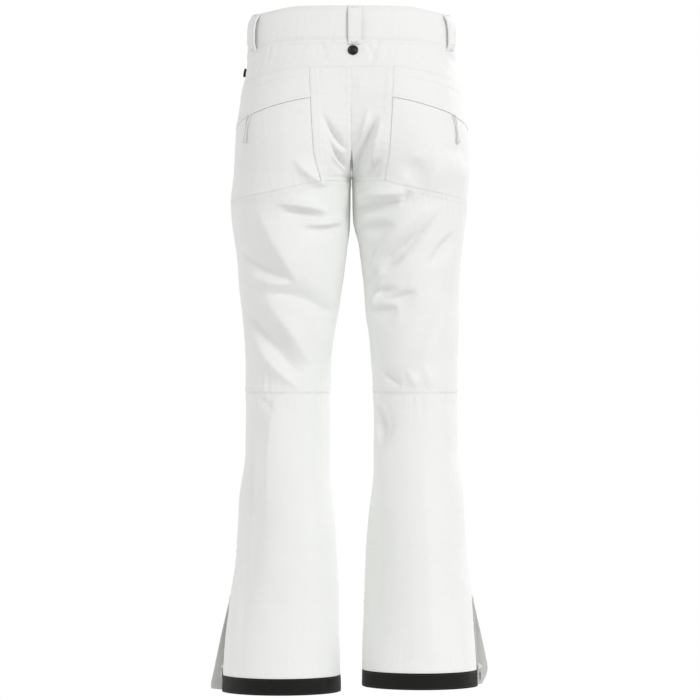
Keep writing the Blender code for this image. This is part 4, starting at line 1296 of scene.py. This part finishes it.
def arc_frames(first, middle, last):
    """A function from a share of an arc to its (origin, across, out), and the arc's length."""
    centre, radius, axis = circle_through(first, middle, last)
    start = (first - centre).normalized()
    whole = (first - centre).angle(last - centre)

    def frame_at(share):
        out = Matrix.Rotation(whole * share, 3, axis) @ start
        return centre + out * radius, axis, out

    return frame_at, whole * radius


def straight_frames(first, last, out):
    """The same for a straight line."""
    along = (last - first).normalized()
    across = along.cross(out).normalized()
    out = across.cross(along)
    return (lambda share: (first.lerp(last, share), across, out)), (last - first).length


def coil(frames, length, sides, half=CHAIN_WIDTH / 2):
    """The coil's turns: one small loop after another, each round the chain's edge and back to the middle."""
    count = int(length / COIL_PITCH)
    middle, bend = 0.00035, -0.55 * half
    route = ((middle, TAPE_TOP), (bend, TAPE_TOP), (-half, mix(TAPE_TOP, CHAIN_HEIGHT, 0.5)),
             (bend, CHAIN_HEIGHT - 0.0002), (middle, CHAIN_HEIGHT - 0.0003))
    index = np.arange(len(route) * len(COIL_WIRE)).reshape(len(route), -1)
    faces = np.concatenate([walls(index), index[:1, ::-1], index[-1:]])
    parts = []
    for side in sides:
        for k in range(count):
            origin, across, out = frames((k + (0.5 if side > 0 else 0.0)) / count)
            ahead, _, _ = frames(min(1.0, (k + 1) / count))
            along = (ahead - origin).normalized() if (ahead - origin).length > 1e-9 else across.cross(out)
            centres = [origin + across * (side * x) + out * y for x, y in route]
            rings = [centre + along * dx + out * dy for centre in centres for dx, dy in COIL_WIRE]
            parts.append((np.array(rings), faces))
    return joined(parts)


def zip_chain(node, frames, length):
    """A closed zip: its woven tape and both rows of its coil, with the sewn channel down each tape."""
    count = max(8, int(length / ROW_STEP))
    rows = [frames(k / count) for k in range(count + 1)]
    parts = [section_sweep(rows, [TAPE] * len(rows)), coil(frames, length, (-1, 1))]
    fitting(f"{node}_coil", parts, "zip", "shell", node, uv=True)
    outs = np.array([out for _, _, out in rows])
    for side in (-1, 1):
        path = np.array([origin + across * side * 0.0040 + out * TAPE_TOP for origin, across, out in rows])
        sew(path, outs, pitch=0.002, length=0.0016, radius=0.00014)


def zip_lips(name, frames, length):
    """The two bonded strips of shell cloth that frame a zip and hold its tapes."""
    count = max(10, int(length / ROW_STEP))
    rows = [frames(mix(-0.03, 1.03, k / count)) for k in range(count + 1)]
    outs = np.array([out for _, _, out in rows])
    parts = []
    for side in (-1, 1):
        section = [(side * (LIP_INNER + x), y) for x, y in LIP_SECTION]
        parts.append(section_sweep(rows, [section] * len(rows)))
        line = side * (LIP_INNER + 0.0018)
        sew(np.array([origin + across * line + out * 0.0015 for origin, across, out in rows]), outs)
    fitting(f"{name}_lips", parts, "shell", "shell", uv=True)


def hanging(out):
    """The direction in which a pull hangs against a surface."""
    down = Vector((0, 0, -1))
    return (down - out * down.dot(out)).normalized()


def cast_slider(node):
    """A zip slider as it comes from the mould: the CAD solid with its corners rounded."""
    name = f"{node}_cast"
    made = bpy.data.objects.new(name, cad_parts[node].data.copy())
    bpy.context.scene.collection.objects.link(made)
    made.data.materials.clear()
    made.data.materials.append(MATERIALS["slider"])
    made.modifiers.new("weld", "WELD").merge_threshold = 1e-5
    bevel = made.modifiers.new("bevel", "BEVEL")
    bevel.width = 0.00035
    bevel.segments = 3
    bevel.limit_method = "ANGLE"
    bevel.angle_limit = math.radians(35)
    mesh = bpy.data.meshes.new_from_object(made.evaluated_get(bpy.context.evaluated_depsgraph_get()))
    made.modifiers.clear()
    made.data = mesh
    mesh.name = name
    if "sharp_face" in mesh.attributes:
        mesh.attributes.remove(mesh.attributes["sharp_face"])
    mesh.shade_smooth()
    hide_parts(node)
    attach(made, node)


def round_section(width, height, power=1.0, sides=12):
    """An oval's points, squarer with a lower power."""
    turns = [2 * math.pi * k / sides for k in range(sides)]
    return [(width * math.copysign(abs(math.cos(turn)) ** power, math.cos(turn)),
             height * math.copysign(abs(math.sin(turn)) ** power, math.sin(turn))) for turn in turns]


def tube(path):
    """Points and faces of a round cord along a path, drawn in a little at both ends."""
    points = np.asarray(path, float)
    along = unit(np.gradient(points, axis=0))
    back = np.array((0.0, -1.0, 0.0))
    up = unit(back - along * (back * along).sum(1, keepdims=True))
    radii = np.full(len(points), CORD_RADIUS)
    radii[0] = radii[-1] = CORD_RADIUS * 0.75
    sections = [round_section(radius, radius, sides=10) for radius in radii]
    return section_sweep(list(zip(points, np.cross(along, up), up)), sections)


def pull_end(node, hinge, length, half, thick=0.0030):
    """The moulded end of a pull: rounded, waisted in the middle, with a ribbed grip on its face."""
    eye, down, across, out = hinge
    rows, sections = [], []
    for k, (at, width) in enumerate(GRIP):
        width *= 1.0 if k < GRIP_NECK else half
        deep = thick / 2 * (0.75 if k in (0, len(GRIP) - 1) else 1.0)
        deep *= 0.86 if k in (4, 6) else 1.0
        rows.append((eye + down * (length + at), across, out))
        sections.append(round_section(width, deep, 0.7))
    made = fitting(f"{node}_grip", [section_sweep(rows, sections)], "cord", node, node)
    smoother = made.modifiers.new("round", "SUBSURF")
    smoother.levels = smoother.render_levels = 1
    return made


def cord_pull(node, hinge, gap, length, half):
    """A pull of two cord strands that leave the slider's eye on either side and draw together in its grip."""
    eye, down, across, out = hinge
    grip = pull_end(node, hinge, length - 0.0015, half)
    for label, way in (("a", -1), ("b", 1)):
        path = []
        for k in range(15):
            t = k / 14
            aside = mix(gap + CORD_RADIUS, CORD_RADIUS + 0.00005, float(smooth(0.05, 0.55, t)))
            bow = 0.0006 * math.sin(math.pi * t)
            path.append(eye + across * way * aside + down * (length * t) + out * bow)
        made = fitting(f"{node}_cord_{label}", [tube(path)], "cord", node)


def back_pocket(name, side):
    depth = FABRIC + 0.0017 + ROOF  # of the tape behind the cloth
    cut = Vector((-side * POCKET_CUT[1], -POCKET_CUT[2], 1.0)).normalized()

    def behind(share):
        z = float(pocket_line(share))
        point, normal = spot(side, back_angle(share, z), z)
        return point - (normal - cut * normal.dot(cut)).normalized() * depth

    frames, length = arc_frames(*map(behind, (POCKET_ZIP[0], 0.56, POCKET_ZIP[1])))
    zip_chain(f"back_pocket_zip_{name}", frames, length)
    cast_slider(f"back_pocket_slider_{name}")
    origin, _, out = frames(1 - 2.2 * SLIDER_LENGTH / 2 / length)
    eye = origin + out * (depth + 0.0024)
    face = spot(side, angle_at(abs(eye.x), eye.z), eye.z)[1]
    down = hanging(face)
    hinge = (eye, down, face.cross(down), face)
    cord_pull(f"back_pocket_pull_{name}", hinge, FIN_LENGTH / 2 + 0.0005, 0.036, 0.0051)


def front_frames(side, ends, lift):
    """The arc of a zip on the front of the shell, between two (x, height) places, lifted off it."""
    middle = tuple(mix(*pair, 0.5) for pair in zip(*ends))
    points = [spot(side, -angle_at(x, z), z) for x, z in (ends[0], middle, ends[1])]
    out = points[1][1]
    first, crown, last = (point + out * lift for point, _ in points)
    halfway = (first + last) / 2
    return arc_frames(first, halfway + out * (crown - halfway).dot(out), last)


def hand_pocket(name, side):
    frames, length = front_frames(side, ((0.142, -0.205), (0.098, -0.078)), ZIP_LIFT)
    zip_chain(f"hand_pocket_zip_{name}", frames, length)
    zip_lips(f"hand_pocket_{name}", frames, length)
    cast_slider(f"hand_pocket_slider_{name}")
    origin, _, out = frames(1 - 3 * SLIDER_LENGTH / 2 / length)
    down = hanging(out)
    hinge = (origin + out * LUG_HEIGHT, down, out.cross(down), out)
    cord_pull(f"hand_pocket_pull_{name}", hinge, LUG_HALF + 0.0004, 0.034, 0.0042)


def thigh_vent(name, side):
    first, out = spot(side, VENT_ANGLE, -0.545)
    last, upper = spot(side, VENT_ANGLE, -0.345)
    lift = (out + upper).normalized()
    frames, length = straight_frames(first + lift * ZIP_LIFT, last + lift * ZIP_LIFT, lift)
    zip_chain(f"vent_zip_{name}", frames, length)
    zip_lips(f"vent_{name}", frames, length)
    cast_slider(f"vent_slider_{name}")


def fly():
    frames, length = front_frames(1, ((0.014, -0.180), (0.014, -0.066)), 0.0024)
    zip_chain("fly_zip", frames, length)
    cast_slider("fly_slider")
    fly_placket()


def cuff_tape(side, way):
    """The parts of a cuff's back (-1) or front (1) tape with its row of coil, and the tape's (foot, along,
    across, out)."""
    top, out = spot(side, 0.0, SLIT_TOP - 0.004)
    foot, _ = spot(side, way * (float(slit_angle(HEM)) - 0.036), HEM + 0.003)
    first, last = foot + out * TAPE_TOP, top + out * TAPE_TOP
    last.y += way * 0.0012
    along = (last - first).normalized()
    across = Vector((0, -way, 0))
    across = (across - along * across.dot(along)).normalized()
    lift = (out - along * out.dot(along) - across * out.dot(across)).normalized()
    start = first.lerp(last, (hem_height(side) - HEM) / (last.z - first.z))
    length = (last - start).length
    count = int(length / ROW_STEP)
    rows = [(start.lerp(last, k / count), across, lift) for k in range(count + 1)]

    def coil_frames(share):
        return start.lerp(last, share) + across * 0.0004, across, lift

    parts = [section_sweep(rows, [CUFF_TAPE] * len(rows)), coil(coil_frames, length, (1,), 0.0024)]
    return parts, (first, along, across, lift)


def cuff(name, side):
    """The cuff's zip, whose tapes part from the slit's top to the hem, and the slider that is parked with its
    pull near the hem on the back tape."""
    (back, line), (front, _) = (cuff_tape(side, way) for way in (-1, 1))
    fitting(f"cuff_zip_{name}_coil", back + front, "zip", f"shin_{name}", f"cuff_zip_{name}", uv=True)
    cast_slider(f"cuff_slider_{name}")
    first, along, across, out = line
    middle = first + along * 0.036 + across * 0.0018
    down = hanging(out)
    hinge = (middle + out * LUG_HEIGHT, down, out.cross(down), out)
    pull_end(f"cuff_pull_{name}", hinge, 0.0098, 0.0034, 0.0022)


# ---- Studio ----------------------------------------------------------------------------------------------
ROOM_LIGHT = 0.66  # light from all round, as a share of white
LAMP_DISTANCE = 4.6
# Name, degrees to the right, degrees up, light on the middle as a share of white, size, casts shadows.
# The front of the room has the same lamps as the back.
LAMPS = (
    ("key", 34, 26, 0.41, 1.0, True),
    ("fill", -52, 6, 0.10, 2.2, True),
    ("edge", 80, 10, 0.035, 1.5, False),
    ("far_edge", -80, 10, 0.05, 1.5, False),
)
FLOOR_DROP = 0.155  # how far below the hems the floor lies
FLOOR = ((0.0, 0.0), (1.15, 0.0), (1.2, -0.02))
CAMERA_DISTANCE = 6.5
CAMERA_OFFSET = (-0.0023, 0.0045)  # in x and z, from the middle plane and the middle of the height
LENS = 215.2


def area_light(name, place, target, size, power, shadows):
    lamp = bpy.data.lights.new(name, "AREA")
    lamp.size = size
    lamp.energy = power
    lamp.use_shadow = shadows
    made = bpy.data.objects.new(name, lamp)
    made.location = place
    made.rotation_euler = (target - place).to_track_quat("-Z", "Y").to_euler()
    bpy.context.scene.collection.objects.link(made)


def white_room():
    """A world that lights the pants evenly and looks white behind them."""
    world = bpy.data.worlds.new("studio")
    world.use_nodes = True
    tree = world.node_tree
    room, seen = tree.nodes["Background"], tree.nodes.new("ShaderNodeBackground")
    for background, strength in ((room, ROOM_LIGHT), (seen, 1.0)):
        background.inputs["Color"].default_value = (1.0, 1.0, 1.0, 1)
        background.inputs["Strength"].default_value = strength
    either = tree.nodes.new("ShaderNodeMixShader")
    tree.links.new(tree.nodes.new("ShaderNodeLightPath").outputs["Is Camera Ray"], either.inputs["Fac"])
    tree.links.new(room.outputs[0], either.inputs[1])
    tree.links.new(seen.outputs[0], either.inputs[2])
    tree.links.new(either.outputs[0], tree.nodes["World Output"].inputs["Surface"])
    bpy.context.scene.world = world
    bpy.context.scene.view_settings.view_transform = "Standard"


def studio():
    """White room, a soft key from the photographer's right, and a pale round floor under the pants."""
    white_room()
    low, high = CAD_BOX
    middle = (low + high) / 2
    for side, facing in (("back", -1), ("front", 1)):
        for name, turn, rise, share, size, shadows in LAMPS:
            turn, rise = math.radians(turn), math.radians(rise)
            level = math.cos(rise)
            away = Vector((math.sin(turn) * level, facing * math.cos(turn) * level, math.sin(rise)))
            power = share * math.pi**2 * LAMP_DISTANCE**2
            area_light(f"{name}_{side}", middle + away * LAMP_DISTANCE, middle, size, power, shadows)
    points, faces = lathe((0.0, 0.0, low.z - FLOOR_DROP), Vector((0, 0, 1)), FLOOR, 96)
    quads_object("floor", points, faces, "floor")
    camera = bpy.data.objects.new("camera", bpy.data.cameras.new("camera"))
    camera.location = (CAMERA_OFFSET[0], -CAMERA_DISTANCE, middle.z + CAMERA_OFFSET[1])
    camera.rotation_euler = (math.radians(90), 0, 0)
    camera.data.lens = LENS
    bpy.context.scene.collection.objects.link(camera)
    bpy.context.scene.camera = camera


def main():
    studio()
    waistband()
    yoke()
    for name, side in SIDES:
        back_panels(name, side)
        front_thigh(name, side)
        lower_leg(name, side)
        cuff_gusset(name, side)
        slit_tack(name, side)
        gaiter(name, side)
        belt_loop(f"back_{name}", side, BACK_LOOP_ANGLE)
        belt_loop(f"front_{name}", side, FRONT_LOOP_ANGLE)
        back_pocket(name, side)
        hand_pocket(name, side)
        thigh_vent(name, side)
        cuff(name, side)
    centre_loop()
    waist_tab()
    snaps()
    fly()
    sew_threads()


main()
